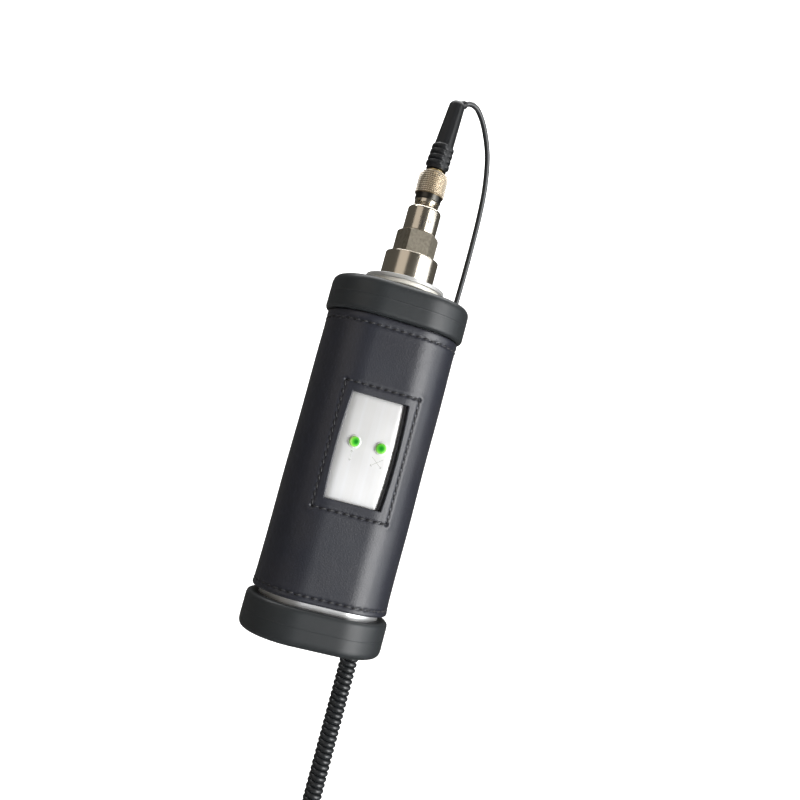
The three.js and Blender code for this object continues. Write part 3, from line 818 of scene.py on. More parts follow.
FINISHES = {
    "leather": partial(Finish, "black_leather", "sleeve.leather", 0.39,
                       grain=(1500, 60, 0.00012, 0.55), marks=(42, 0.22),
                       shade=(0.0165, 0.0165, 0.0215),
                       sockets={"Coat Weight": 0.14, "Coat Roughness": 0.26}),
    "thread": partial(Finish, "black_thread", "sleeve.thread", 0.5,
                      grain=(5200, 200, 0.00008, 0.5)),
    "lining": partial(plastic, "lining", (0.02, 0.02, 0.023), 0.75),
    "bumper": partial(Finish, "bumper_rubber", "body.rubber", 0.43,
                      grain=(3600, 45, 0.00003, 0.35), marks=(55, 0.2),
                      shade=(0.0165, 0.019, 0.021), sockets={"Specular IOR Level": 0.45}),
    "boot": partial(Finish, "boot_rubber", (0.0065, 0.0072, 0.0085), 0.42,
                    grain=(4200, 120, 0.00003, 0.35), marks=(140, 0.2),
                    sockets={"Specular IOR Level": 0.4}),
    "jacket": partial(Finish, "cable_jacket", "lead.jacket", 0.33,
                      grain=(2600, 90, 0.00002, 0.3), marks=(160, 0.16),
                      sockets={"Coat Weight": 0.15, "Coat Roughness": 0.2}),
    "aluminium": aluminium_finish,
    "disc": partial(matt_metal, "turned_disc", (0.50, 0.50, 0.49), metallic=0.5),
    # The hub is aluminium given a pale, nearly non-metal cream: a painted reflection of the lit
    # floor.
    "hub": partial(matt_metal, "hub_pale_painted_reflection", (0.86, 0.83, 0.75), metallic=0.15),
    "nickel": partial(metal, "polished_nickel", "sensor.nickel", 0.2,
                      turning=(4200, 0.00002, 0.45), marks=(120, 0.12)),
    "knurl": partial(Finish, "knurled_nickel", (0.86, 0.79, 0.68), 0.34, 1.0, marks=(400, 0.25),
                     shade=(0.68, 0.61, 0.50)),
    # The knurl's drum is a darker metal than its points: painted shade in the grooves between them.
    "valley_painted_shade": partial(metal, "knurl_valley_painted_shade", (0.27, 0.215, 0.145), 0.42),
    "hexagon": partial(Finish, "dull_steel", "sensor.steel", 0.62, 1.0,
                       grain=(1500, 700, 0.00008, 0.8), marks=(260, 0.3),
                       shade=(0.37, 0.34, 0.278)),
    "blackened": partial(metal, "blackened_band", (0.075, 0.072, 0.064), 0.3),
    "lamp": lamp_finish,
    "steel": partial(metal, "screw_steel", (0.45, 0.45, 0.46), 0.3),
    "brass": partial(metal, "contact_brass", (0.78, 0.6, 0.3), 0.28),
    "copper": partial(metal, "coil_copper", (0.7, 0.36, 0.2), 0.35),
    "magnet": partial(metal, "magnet_plating", (0.35, 0.35, 0.37), 0.3),
    "black_plastic": partial(plastic, "black_plastic", (0.014, 0.014, 0.015)),
    "white_plastic": partial(plastic, "former_plastic", (0.8, 0.79, 0.75)),
    "board": partial(plastic, "circuit_board_green", (0.02, 0.16, 0.06), 0.35),
    "cell": partial(plastic, "cell_wrap", (0.04, 0.2, 0.33), 0.3),
    "print": partial(plastic, "panel_print", (0.46, 0.46, 0.44), 0.5),
    "backdrop": partial(Finish, "backdrop_paper", "stage.backdrop", 0.9, marks=(3, 0.05),
                        sockets={"Emission Strength": 0.45, "Emission Color": (1, 1, 1, 1)}),
}


@cache
def look(name):
    """A finish's material, made once."""
    return FINISHES[name]().material


# ---------- the operators ----------


class BuildStep(bpy.types.Operator):
    """What the building steps share"""

    bl_options = {"REGISTER", "UNDO"}


class CALIBRATOR_OT_stage(BuildStep):
    """Sets up the camera, the lights and the pale backdrop"""

    bl_idname = "calibrator.stage"
    bl_label = "Stage"

    def execute(self, context):
        scene = context.scene
        self.add_camera(scene)
        self.add_backdrop()
        self.add_lights()
        self.add_world(scene)
        return {"FINISHED"}

    def add_camera(self, scene):
        """A level camera a little to the left of the front, rolled so that the body leans right."""
        yaw, pitch, roll = (math.radians(a) for a in CAMERA_TURN)
        level = Matrix(((1, 0, 0), (0, 0, -1), (0, 1, 0)))
        view = (Matrix.Rotation(roll, 3, "Z") @ Matrix.Rotation(pitch, 3, "X") @ level
                @ Matrix.Rotation(yaw, 3, "Z"))
        offset = Vector(CAMERA_OFFSET).normalized() * scene.calibrator_stage.distance
        place = -(view.transposed() @ offset) + Vector(CAMERA_AIM)
        turn = view.transposed() @ Matrix.Diagonal((1, -1, -1))
        data = bpy.data.cameras.new("camera")
        data.lens = scene.calibrator_stage.lens
        data.sensor_width = 36
        data.clip_start = 0.01
        data.clip_end = 50
        scene.camera = in_scene("camera", data)
        scene.camera.matrix_world = Matrix.Translation(place) @ turn.to_4x4()

    def add_backdrop(self):
        """A floor far below that curves up into a wall, as one sheet."""
        low, near, far, bend, top, half, steps = -0.62, -4.0, 2.6, 1.6, 5.0, 6.0, 16
        line = [(near, low), (far - bend, low)]
        for i in range(1, steps + 1):
            angle = math.pi / 2 * i / steps
            line.append((far - bend + bend * math.sin(angle), low + bend - bend * math.cos(angle)))
        line.append((far, top))
        points = [(x, y, z) for y, z in line for x in (-half, half)]
        faces = [(2 * i, 2 * i + 1, 2 * i + 3, 2 * i + 2) for i in range(len(line) - 1)]
        mesh = bpy.data.meshes.new("backdrop")
        mesh.from_pydata(points, [], faces)
        mesh.shade_smooth()
        sheet = in_scene("backdrop", finished(mesh, "backdrop"))
        sheet.visible_glossy = False

    def add_lights(self):
        for name, place, aim, width, height, power, tint in LIGHTS:
            data = bpy.data.lights.new(name, "AREA")
            data.color = tint
            data.shape = "RECTANGLE"
            data.size = width
            data.size_y = height
            data.energy = power
            item = in_scene(name, data)
            item.location = place
            way = Vector(aim) - Vector(place)
            item.rotation_euler = way.to_track_quat("-Z", "Y").to_euler()

    def add_world(self, scene):
        """A dim warm room for the metal to mirror, and white where the camera looks past all."""
        scene.world = bpy.data.worlds.new("studio")
        scene.world.use_nodes = True
        tree = scene.world.node_tree
        tree.nodes.clear()
        sheet = Sheet(tree)
        room, white = (
            sheet.add("ShaderNodeBackground", {"Color": (*colour, 1), "Strength": strength})
            for colour, strength in (((1.0, 0.95, 0.86), 0.1), ((1.0, 1.0, 1.0), 1.0))
        )
        seen = sheet.add("ShaderNodeLightPath").outputs["Is Camera Ray"]
        mixed = sheet.add("ShaderNodeMixShader", {0: seen, 1: room, 2: white})
        sheet.add("ShaderNodeOutputWorld", {"Surface": mixed})
        scene.view_settings.view_transform = "Standard"


class CALIBRATOR_OT_lead(BuildStep):
    """Lays the thin lead over and down behind the body, with its curly part and its tail"""

    bl_idname = "calibrator.lead"
    bl_label = "Lead"

    def execute(self, context):
        settings = context.scene.calibrator_lead
        curl = (COIL_HIGH.x - COIL_LOW.x) / 2 - settings.diameter / MM / 2
        line = through(LEAD_ROUTE, 2.0)[:-1]
        line += self.curls(settings.pitch / MM, curl)
        tail = [(COIL_X, COIL_Y, z)
                for z in (COIL_LOW.z + 0.5, COIL_LOW.z - 10, FAR_BOOT_HIGH.z + 0.3)]
        line += through(tail, 3.0)[1:]
        context.scene["cable_length"] = sum((b - a).length for a, b in zip(line, line[1:])) * MM

        data = bpy.data.curves.new("sensor_cable", "CURVE")
        data.dimensions = "3D"
        spline = data.splines.new("POLY")
        spline.points.add(len(line) - 1)
        for point, place in zip(spline.points, line):
            point.co = (*(MM * c for c in place), 1)
        spline.use_smooth = True
        data.bevel_depth = settings.diameter / 2
        data.bevel_resolution = 4
        data.use_fill_caps = True
        data.materials.append(look("jacket"))
        cable = in_scene("sensor_cable", data)
        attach(cable, "vibrating_table")
        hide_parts("cable_lead", "cable_coil", "cable_tail")
        return {"FINISHED"}

    def curls(self, pitch, radius):
        """The closed helix. At both ends it eases from the axis out to its full radius."""
        top, bottom = COIL_HIGH.z - 0.5, COIL_LOW.z + 0.5
        ease, stretch, steps_in_turn = 1.1, 2.4, 16
        turns = (top - bottom) / pitch - ease * stretch
        steps = round(turns * steps_in_turn)
        places, drops = [], [0.0]
        for i in range(steps + 1):
            wound = turns * i / steps
            t = min(1.0, min(wound, turns - wound) / ease)
            opened = t * t * (3 - 2 * t)
            places.append((radius * opened, 2 * math.pi * wound))
            drops.append(drops[-1] + 1 + stretch * (1 - opened))
        fall = (top - bottom) / (drops[-1] - drops[1])
        return [
            Vector((COIL_X + spread * math.cos(angle), COIL_Y + spread * math.sin(angle),
                    top - fall * (drop - drops[1])))
            for (spread, angle), drop in zip(places, drops[1:])
        ]


# The window in the sleeve, the seam around it and the rows of stitches along both hems
WINDOW_TOP = 31.0
WINDOW_BOTTOM = -17.9
WINDOW_HALF = oval_reach(13.1)
WINDOW_GAPE = 1.1
LINING_SHOWN = 1.35
SEAM_HALF = oval_reach(17.6)
SEAM_TOP = 35.2
SEAM_BOTTOM = -22.8
TOP_ROW = 62.7
BOTTOM_ROW = -61.6
SIDE_STITCHES = 16
END_STITCHES = 10
RING_STITCHES = 49
STRIP_STITCHES = 32


def seam_pull(across, along, start, end, stitches):
    """The dip along one seam, with a deeper dimple at each needle hole."""
    beyond = np.maximum(0, np.maximum(start - along, along - end))
    away = np.hypot(across, beyond)
    phase = (along - start) / (end - start) * stitches
    to_hole = np.abs(phase - np.round(phase)) * (end - start) / stitches
    dip = -0.16 * np.exp(-(away / 0.5) ** 2)
    hole = -0.34 * np.exp(-(away / 0.75) ** 2 - (to_hole / 0.85) ** 2)
    swell = 0.1 * np.exp(-((away - 1.8) / 0.9) ** 2)
    return dip + hole + swell


def leather_relief(s, z):
    """How far the leather stands off its plain oval: pulled in at stitches, full between them."""
    relief = np.zeros_like(s)
    for side in (-SEAM_HALF, SEAM_HALF):
        relief += seam_pull(s - side, z, SEAM_BOTTOM, SEAM_TOP, SIDE_STITCHES)
    for level in (SEAM_BOTTOM, SEAM_TOP):
        relief += seam_pull(z - level, s, -SEAM_HALF, SEAM_HALF, END_STITCHES)
    for level in (TOP_ROW, BOTTOM_ROW):
        relief += seam_pull(z - level, s % OVAL_LENGTH, 0.0, OVAL_LENGTH, RING_STITCHES)
    edge = np.minimum(SLEEVE_HIGH.z - z, z - SLEEVE_LOW.z)
    hem = 0.2 * np.exp(-((edge - 1.2) / 1.2) ** 2)
    slow = 0.09 * np.sin(z / 9.0 + 1.3 * np.sin(s / 17.0)) * np.cos(s / 13.0)
    return relief + hem + slow - 0.14


def window_bow(z):
    """How much wider each side of the window gapes at a height."""
    middle, half = (WINDOW_TOP + WINDOW_BOTTOM) / 2, (WINDOW_TOP - WINDOW_BOTTOM) / 2
    return WINDOW_GAPE * max(0.0, 1 - ((z - middle) / half) ** 2)


def shell_with_window(name, columns, rows, radius, thickness, relief, left, right):
    """A closed shell on the oval, with a window through it, from rows and columns of places."""
    wide, high = len(columns), len(rows)
    s = np.array(columns)
    s = np.where(s > OVAL_LENGTH / 2, s - OVAL_LENGTH, s)
    grid_s, grid_z = np.meshgrid(s, np.array(rows))
    stand = relief(grid_s, grid_z) if relief else np.zeros_like(grid_s)

    def bowed(place, z):
        """A column's place, moved out near the window's sides as far as the window gapes there."""
        signed = place if place < OVAL_LENGTH / 2 else place - OVAL_LENGTH
        side = right if signed > 0 else left
        near = math.exp(-((signed - side) / 2.2) ** 2)
        return place + math.copysign(window_bow(z), signed) * near

    ways = [[bowed(v, z) for v in columns] for z in rows]
    outer = [oval_point(ways[j][i], radius + stand[j, i], rows[j])
             for j in range(high) for i in range(wide)]
    inner = [oval_point(v, radius - thickness, z) for way, z in zip(ways, rows) for v in way]
    quads = []
    for j in range(high - 1):
        for i in range(wide):
            k = (i + 1) % wide
            middle_s = (s[i] + (s[k] if abs(s[k] - s[i]) < OVAL_LENGTH / 2 else s[i])) / 2
            middle_z = (rows[j] + rows[j + 1]) / 2
            if not (left < middle_s < right and WINDOW_BOTTOM < middle_z < WINDOW_TOP):
                quads.append((j * wide + i, j * wide + k, (j + 1) * wide + k, (j + 1) * wide + i))
    count = wide * high
    faces = quads + [tuple(count + v for v in reversed(q)) for q in quads]
    edges = set()
    for quad in quads:
        edges.update(zip(quad, quad[1:] + quad[:1]))
    faces += [(b, a, count + a, count + b) for a, b in edges if (b, a) not in edges]
    return new_mesh(name, outer + inner, faces, sharp=50)


class CALIBRATOR_OT_sleeve(BuildStep):
    """Makes the leather sleeve with its window, its lining, its rear strip and every stitch"""

    bl_idname = "calibrator.sleeve"
    bl_label = "Sleeve"

    def execute(self, context):
        settings = context.scene.calibrator_sleeve
        thickness = settings.thickness / MM
        self.add_leather(thickness)
        self.add_lining(thickness)
        self.add_rear_strip()
        self.add_stitches(settings)
        return {"FINISHED"}

    def add_leather(self, thickness):
        rows = graded(SLEEVE_LOW.z, SLEEVE_HIGH.z, 0.91,
                      [SEAM_TOP, SEAM_BOTTOM, TOP_ROW, BOTTOM_ROW], 0.4, 1.6,
                      [WINDOW_TOP, WINDOW_BOTTOM])
        columns = graded(0, OVAL_LENGTH, 0.93, [SEAM_HALF, OVAL_LENGTH - SEAM_HALF], 0.4, 1.5,
                         [WINDOW_HALF, OVAL_LENGTH - WINDOW_HALF])
        mesh = shell_with_window("leather_sleeve_skin", columns[:-1], rows, LEATHER_RADIUS - 0.1,
                                 thickness - 0.1, leather_relief, -WINDOW_HALF, WINDOW_HALF)
        piece("leather_sleeve_skin", smooth(bevelled(mesh, 0.4, 3, 55), 60), "leather", "housing",
              ["leather_sleeve"])

    def add_lining(self, thickness):
        low, high = cad_box("sleeve_lining")
        right = WINDOW_HALF - LINING_SHOWN
        rows = graded(low.z, high.z, 4, [], 0.5, 0, [WINDOW_TOP, WINDOW_BOTTOM])
        columns = graded(0, OVAL_LENGTH, 2, [], 0.5, 0, [right, OVAL_LENGTH - WINDOW_HALF])
        mesh = shell_with_window("sleeve_lining_skin", columns[:-1], rows,
                                 LEATHER_RADIUS - thickness - 0.3, 1.3, None, -WINDOW_HALF, right)
        piece("sleeve_lining_skin", smooth(bevelled(mesh, 0.3, 2, 55), 60), "lining", "housing",
              ["sleeve_lining"])

    def add_rear_strip(self):
        """A narrow leather strip over the rear seam, with soft edges and round corners."""
        low, high = cad_box("rear_seam_strip")
        half = (high.x - low.x) / 2
        outline = rounded([(-half, low.z, 2.5), (half, low.z, 2.5), (half, high.z, 2.5),
                           (-half, high.z, 2.5)], 6)
        middle = Vector((0, (low.z + high.z) / 2))
        rings = ((0.0, low.y - 0.1), (0.0, high.y - 0.6), (0.22, high.y - 0.22), (0.7, high.y))
        points = []
        for inset, y in rings:
            for p in outline:
                away = p - middle
                pull = Vector([math.copysign(min(inset, abs(c)), c) for c in away])
                points.append(Vector((p.x - pull.x, y, p.y - pull.y)))
        wide = len(outline)
        faces = [
            (r * wide + i, r * wide + (i + 1) % wide, (r + 1) * wide + (i + 1) % wide,
             (r + 1) * wide + i)
            for r in range(len(rings) - 1) for i in range(wide)
        ]
        faces.append(tuple(range(wide)))
        faces.append(tuple(range((len(rings) - 1) * wide, len(rings) * wide)))
        piece("rear_strip_skin", new_mesh("rear_strip_skin", points, faces, 40), "leather",
              "housing", ["rear_seam_strip"])

    def stitch_places(self):
        """Every stitch as (place, along, outward), half-way between its needle holes."""
        surface = LEATHER_RADIUS - 0.42
        low, high = cad_box("rear_seam_strip")
        up = Vector((0, 0, 1))

        def on_oval(s, z, around):
            out = oval_station(s)[1]
            along = Vector((-out.y, out.x, 0)) if around else up
            return oval_point(s, surface, z), along, Vector((out.x, out.y, 0))

        def middles(start, end, count):
            return [start + (end - start) * (k + 0.5) / count for k in range(count)]

        places = []
        for z in (SEAM_TOP, SEAM_BOTTOM):
            places += [on_oval(s, z, True) for s in middles(-SEAM_HALF, SEAM_HALF, END_STITCHES)]
        for s in (-SEAM_HALF, SEAM_HALF):
            places += [on_oval(s, z, False) for z in middles(SEAM_BOTTOM, SEAM_TOP, SIDE_STITCHES)]
        for z in (TOP_ROW, BOTTOM_ROW):
            places += [on_oval(s, z, True) for s in middles(0, OVAL_LENGTH, RING_STITCHES)]
        for x in (-5.2, 5.2):
            places += [(Vector((x, high.y - 0.3, z)), up, Vector((0, 1, 0)))
                       for z in middles(low.z + 2, high.z - 2, STRIP_STITCHES)]
        return places

    def add_stitches(self, settings):
        places = self.stitch_places()
        mesh = points_mesh("stitch_places", [place[0] for place in places])
        for number, name in ((1, "along"), (2, "outward")):
            ways = mesh.attributes.new(name, "FLOAT_VECTOR", "POINT")
            ways.data.foreach_set("vector", [c for row in places for c in row[number]])
        stitches = grown(mesh, stitch_tree(), {
            "Length": settings.stitch_length, "Thread radius": settings.thread_radius,
            "Slant": settings.slant, "Material": look("thread"),
        })
        piece("sleeve_stitches", stitches, None, "housing")


class CALIBRATOR_OT_bumpers(BuildStep):
    """Moulds the two rubber end bumpers"""

    bl_idname = "calibrator.bumpers"
    bl_label = "Bumpers"

    def execute(self, context):
        ridge = context.scene.calibrator_body.parting_ridge / MM
        low, high = BUMPER_LOW.z, BUMPER_HIGH.z
        outer = BUMPER_RADIUS - ridge
        line = (low + high) / 2 - 0.4
        lip = high - 2.3
        mouth = 15.8
        socket = TUBE_RADIUS + 0.3
        profile = rounded([
            (socket, low, 0.5), (outer, low, 4.0), (outer, line - 0.6, 0), (outer, line - 0.2, 0),
            (outer + ridge, line, 0), (outer, line + 0.2, 0), (outer, line + 0.6, 0),
            (outer, high, 5.2), (mouth, high, 1.0), (mouth, lip, 0.3), (socket, lip, 0.2),
        ], 8)
        flipped = [Vector((p.x, -p.y)) for p in reversed(profile)]
        for name, shape in (("top_bumper", profile), ("bottom_bumper", flipped)):
            mesh = oval_piece(f"{name}_rubber", shape)
            piece(f"{name}_rubber", mesh, "bumper", "housing", [name])
        return {"FINISHED"}


class CALIBRATOR_OT_body(BuildStep):
    """Makes the aluminium body, its lamps, the marks on its panel and its end fittings"""

    bl_idname = "calibrator.body"
    bl_label = "Body"

    def execute(self, context):
        self.add_tube()
        self.add_lamps()
        self.add_marks()
        self.add_end_fittings()
        self.add_screws()
        return {"FINISHED"}

    def facing(self, x):
        """Turns a piece made about Z to point out of the front at a lamp's place."""
        return Matrix.Translation((x, 0, LAMP_Z)) @ Matrix.Rotation(math.pi / 2, 4, "X")

    def add_tube(self):
        outer, inner = TUBE_RADIUS, TUBE_RADIUS - 2.2
        low, high = TUBE_LOW.z, TUBE_HIGH.z
        profile = rounded([(outer, low, 0.3), (outer, high, 0.3), (inner, high, 0.2),
                           (inner, low, 0.2)], 3)
        mesh = oval_piece("housing_body", profile, 1.1)
        for x in (-LAMP_X, LAMP_X):
            mesh = cut(mesh, rod("drill", DRILL_RADIUS, 12, 24, 40, self.facing(x)))
        piece("housing_body", smooth(mesh, 40), "aluminium", "housing",
              ["housing_tube"])

    def add_lamps(self):
        lens = [(0, 14.2, 0), (LENS_RADIUS, 14.2, 0.2), (LENS_RADIUS, 21.9, 2.2), (0, 21.9, 0)]
        inner, back, front = LENS_RADIUS + 0.02, PANEL_FACE + 0.05, PANEL_FACE + 0.3
        ring = [(inner, back, 0), (3.1, back, 0), (3.0, front, 0.15), (inner, front, 0.05)]
        for side, x in (("left", -LAMP_X), ("right", LAMP_X)):
            turned_part(f"{side}_lamp_dome", lens, "lamp", "housing", "green_lens",
                        f"{side}_lamp_lens", steps=10, place=self.facing(x))
            turned_part(f"{side}_lamp_ring", ring, "aluminium", "housing", "body_aluminium",
                        f"{side}_lamp_bezel", closed=True, place=self.facing(x))

    def add_marks(self):
        """Plain signs under the lamps: a double arrow for motion, two crossed ones for fault."""
        up, fault, level = LAMP_Z - 6.4, LAMP_X - 0.2, LAMP_Z - 6.7
        strokes = [(-LAMP_X, up, 0, 4.6)]
        for side in (-1, 1):
            strokes += [(-LAMP_X + 0.28 * side, up + 2.0 * end, 38 * side * end, 0.9)
                        for end in (-1, 1)]
            foot = (fault + 2.5 * side, level - 2.0)
            strokes += [(fault, level, 52 * side, 6.6),
                        (foot[0] - 0.35 * side, foot[1], -75 * side, 0.9),
                        (foot[0], foot[1] + 0.4, 5 * side, 0.9)]
        half_width, front = 0.13, -(PANEL_FACE + 0.03)
        bars = []
        for x, z, lean, length in strokes:
            turn = Matrix.Rotation(math.radians(lean), 2)
            corners = [turn @ Vector((a * half_width, b * length))
                       for a, b in ((-1, -0.5), (1, -0.5), (1, 0.5), (-1, 0.5))]
            bars.append([Vector((x + c.x, y, z + c.y)) for y in (front + 0.06, front)
                         for c in corners])
        bars_piece("panel_marks", bars, "print", "housing")

    def add_end_fittings(self):
        """The socket, the button with its guide, and the seal around the shaft."""
        flange = PLATE_FACE + 0.3
        face = PLATE_FACE + 1.1
        button = PLATE_FACE + 2.1
        under = Matrix.Rotation(math.pi, 4, "X")
        aside = Matrix.Translation((-FITTING_X, 0, 0)) @ under
        turned_part("charging_socket_body", [
            (0, 67.5, 0), (3.9, 67.5, 0.3), (3.9, flange, 0), (5.2, flange, 0.2),
            (5.2, face, 0.35), (2.9, face, 0.3), (2.9, 72, 0.1), (1, 72, 0.1),
            (1, PLATE_FACE - 0.8, 0.5), (0, PLATE_FACE - 0.5, 0),
        ], "black_plastic", "housing", "black_plastic", "charging_socket",
            place=Matrix.Translation((FITTING_X, 0, 0)) @ under)
        turned_part("button_guide_ring", [
            (4.6, 75, 0.2), (4.6, flange, 0), (5.6, flange, 0.15), (5.6, face, 0.4),
            (3.4, face, 0.3), (3.4, 75, 0.1),
        ], "aluminium", "housing", "body_aluminium", "button_guide", closed=True, place=aside)
        turned_part("power_button_cap", [
            (0, 74.5, 0), (3.1, 74.5, 0.2), (3.1, button, 0.7), (2.2, button, 0.6),
            (1.2, button - 0.3, 0.6), (0, button - 0.4, 0),
        ], "black_plastic", "power_button", "black_plastic", "power_button", place=aside)
        turned_part("shaft_seal", [
            (9.7, 79.6, 0.2), (9.7, 81.1, 0.3), (7.6, 81.1, 0.3), (6.9, 80.6, 0.4),
            (5.6, 81.1, 0.4), (4.6, 81.1, 0.3), (4.6, 79.6, 0.2),
        ], "bumper", "housing", "bumper_rubber", "dust_seal", segments=64, closed=True)

    def add_screws(self):
        """Pan heads with a six-sided key hole, in both end plates."""
        tip = cad_box("top_plate_screw_1")[0].z
        seat, top = PLATE_FACE + 0.3, 83.5
        blank = turned("screw", [
            (0, tip, 0), (1.25, tip, 0.3), (1.25, seat, 0.1), (2.7, seat, 0.15),
            (2.7, 82.5, 0.5), (1.9, top, 0.4), (1.25, top, 0.1), (0, top, 0),
        ], segments=32)
        template = in_scene("screw", cut(blank, rod("key", 1.15, 82.4, 84, 6)))
        places = [(x, y, z) for z in (-0.001, 0.001) for x in (-SCREW_X, SCREW_X)
                  for y in (-SCREW_Y, SCREW_Y)]
        mesh = grown(points_mesh("screw_places", places), screw_tree(), {
            "Screw": template, "Material": look("steel"),
        })
        bpy.data.objects.remove(template)
        nodes = [f"{end}_plate_screw_{i}" for end in ("top", "bottom") for i in range(1, 5)]
        piece("plate_screws", smooth(mesh, 35), None, "housing", nodes)


class CALIBRATOR_OT_sensor(BuildStep):
    """Turns and mills the table disc, the magnet base and the sensor"""

    bl_idname = "calibrator.sensor"
    bl_label = "Sensor"

    def execute(self, context):
        self.add_table()
        self.add_magnet_base()
        self.add_hexagon()
        self.add_housing()
        self.add_thread()
        self.add_engraving()
        return {"FINISHED"}

    def add_table(self):
        low, high = cad_box("table_disc")
        radius, top = high.x, high.z
        rim, edge, hub = top - 1.9, top - 0.2, 17.6
        turned_part("table_disc_plate", [
            (0, rim, 0), (16, rim, 0), (radius - 0.1, rim, 0.3), (radius, rim + 0.15, 0.3),
            (radius, edge, 0.35), (13, edge, 0.05), (13, top, 0.1), (0, top, 0),
        ], "disc", "vibrating_table", "disc_aluminium", "table_disc", segments=128)
        # The hub under the disc is pale cream, a painted reflection in the shade under the disc.
        turned_part("table_hub", [
            (5, low.z, 0.2), (hub, low.z, 0.4), (hub, rim + 0.3, 0), (5, rim + 0.3, 0),
        ], "hub", "vibrating_table", "disc_aluminium", segments=128, closed=True)
        low, high = cad_box("drive_shaft")
        turned_part("drive_shaft_rod", [
            (0, low.z, 0), (4, low.z, 0.3), (4, high.z, 0.2), (0, high.z, 0),
        ], "aluminium", "vibrating_table", "body_aluminium", "drive_shaft", steps=3)

    def add_magnet_base(self):
        low, high = cad_box("magnet_shell")
        base, top, radius = low.z, high.z, high.x
        turned_part("magnet_base_shell", [
            (8.6, base, 0.15), (radius, base, 0.35), (radius, top, 0.55), (11.2, top, 0.1),
            (2.9, top, 0.2), (2.9, base + 6, 0.1), (8.6, base + 6, 0.2),
        ], "nickel", "vibrating_table", "nickel", "magnet_shell", steps=5, segments=128,
            closed=True)

    def add_hexagon(self):
        low, high = cad_box("sensor_hex_base")
        bottom, top = low.z, high.z
        radius = (high.y - low.y) / math.sqrt(3)
        inner, outer, rise, spare = radius - 0.85, radius + 0.4, 1.15, 0.001
        chamfer = turned("chamfer", [
            (0, bottom - spare, 0), (inner, bottom - spare, 0), (outer, bottom + rise, 0),
            (outer, top - rise, 0), (inner, top + spare, 0), (0, top + spare, 0),
        ], segments=96)
        mesh = cut(rod("prism", radius, bottom, top, 6, sharp=20), chamfer, "INTERSECT")
        mesh = cut(mesh, rod("bore", 2.8, bottom - 1, bottom + 5.6, 32))
        piece("sensor_hexagon", smooth(bevelled(mesh, 0.18, 2, 25), 30), "hexagon",
              "vibrating_table", ["sensor_hex_base"])

    def add_housing(self):
        low, high = cad_box("sensor_housing")
        radius, top = high.x, high.z
        turned_part("sensor_can", [
            (0, low.z, 0), (radius - 0.5, low.z, 0.1), (radius, low.z + 0.35, 0.2),
            (radius, top - 1.2, 1.6), (6.5, top, 0.4), (0, top, 0),
        ], "nickel", "vibrating_table", "nickel", "sensor_housing", steps=8, segments=128)

    def add_thread(self):
        """The jack's threaded barrel, its crests close together."""
        low, high = cad_box("connector_jack")
        root, crest, bore, turns = 4.5, 4.9, 3.9, 10
        pitch = (high.z - low.z - 0.6) / turns
        corners = [(root, low.z, 0)]
        for i in range(turns):
            z = low.z + 0.3 + i * pitch
            corners += [(root, z, 0), (crest, z + 0.35 * pitch, 0), (crest, z + 0.6 * pitch, 0)]
        corners += [(root, high.z, 0.1), (bore, high.z, 0.1), (bore, low.z, 0.1)]
        turned_part("jack_barrel", corners, "nickel", "vibrating_table", "contact_brass",
                    "connector_jack", steps=3, segments=64, closed=True, sharp=25)

    def add_engraving(self):
        """A shallow axis arrow and two short strokes, filled dark, on the sensor's front."""
        low, high = cad_box("sensor_housing")
        bars = []
        for along, z, half_width, height in (
                (0, 3.4, 0.25, 3.6), (-2.2, 6.4, 0.7, 0.9), (2.2, 6.4, 0.7, 0.9),
                (6.5, 5.2, 0.3, 2.4), (9, 5.2, 0.3, 1.6)):
            bar = []
            for reach in (high.x - 0.12, high.x + 0.015):
                for a, b in ((-1, -0.5), (1, -0.5), (1, 0.5), (-1, 0.5)):
                    angle = math.radians(-96 + 3.0 * along) + a * half_width / high.x
                    bar.append(Vector((reach * math.cos(angle), reach * math.sin(angle),
                                       low.z + z + b * height)))
            bars.append(bar)
        bars_piece("sensor_marks", bars, "black_plastic", "vibrating_table")


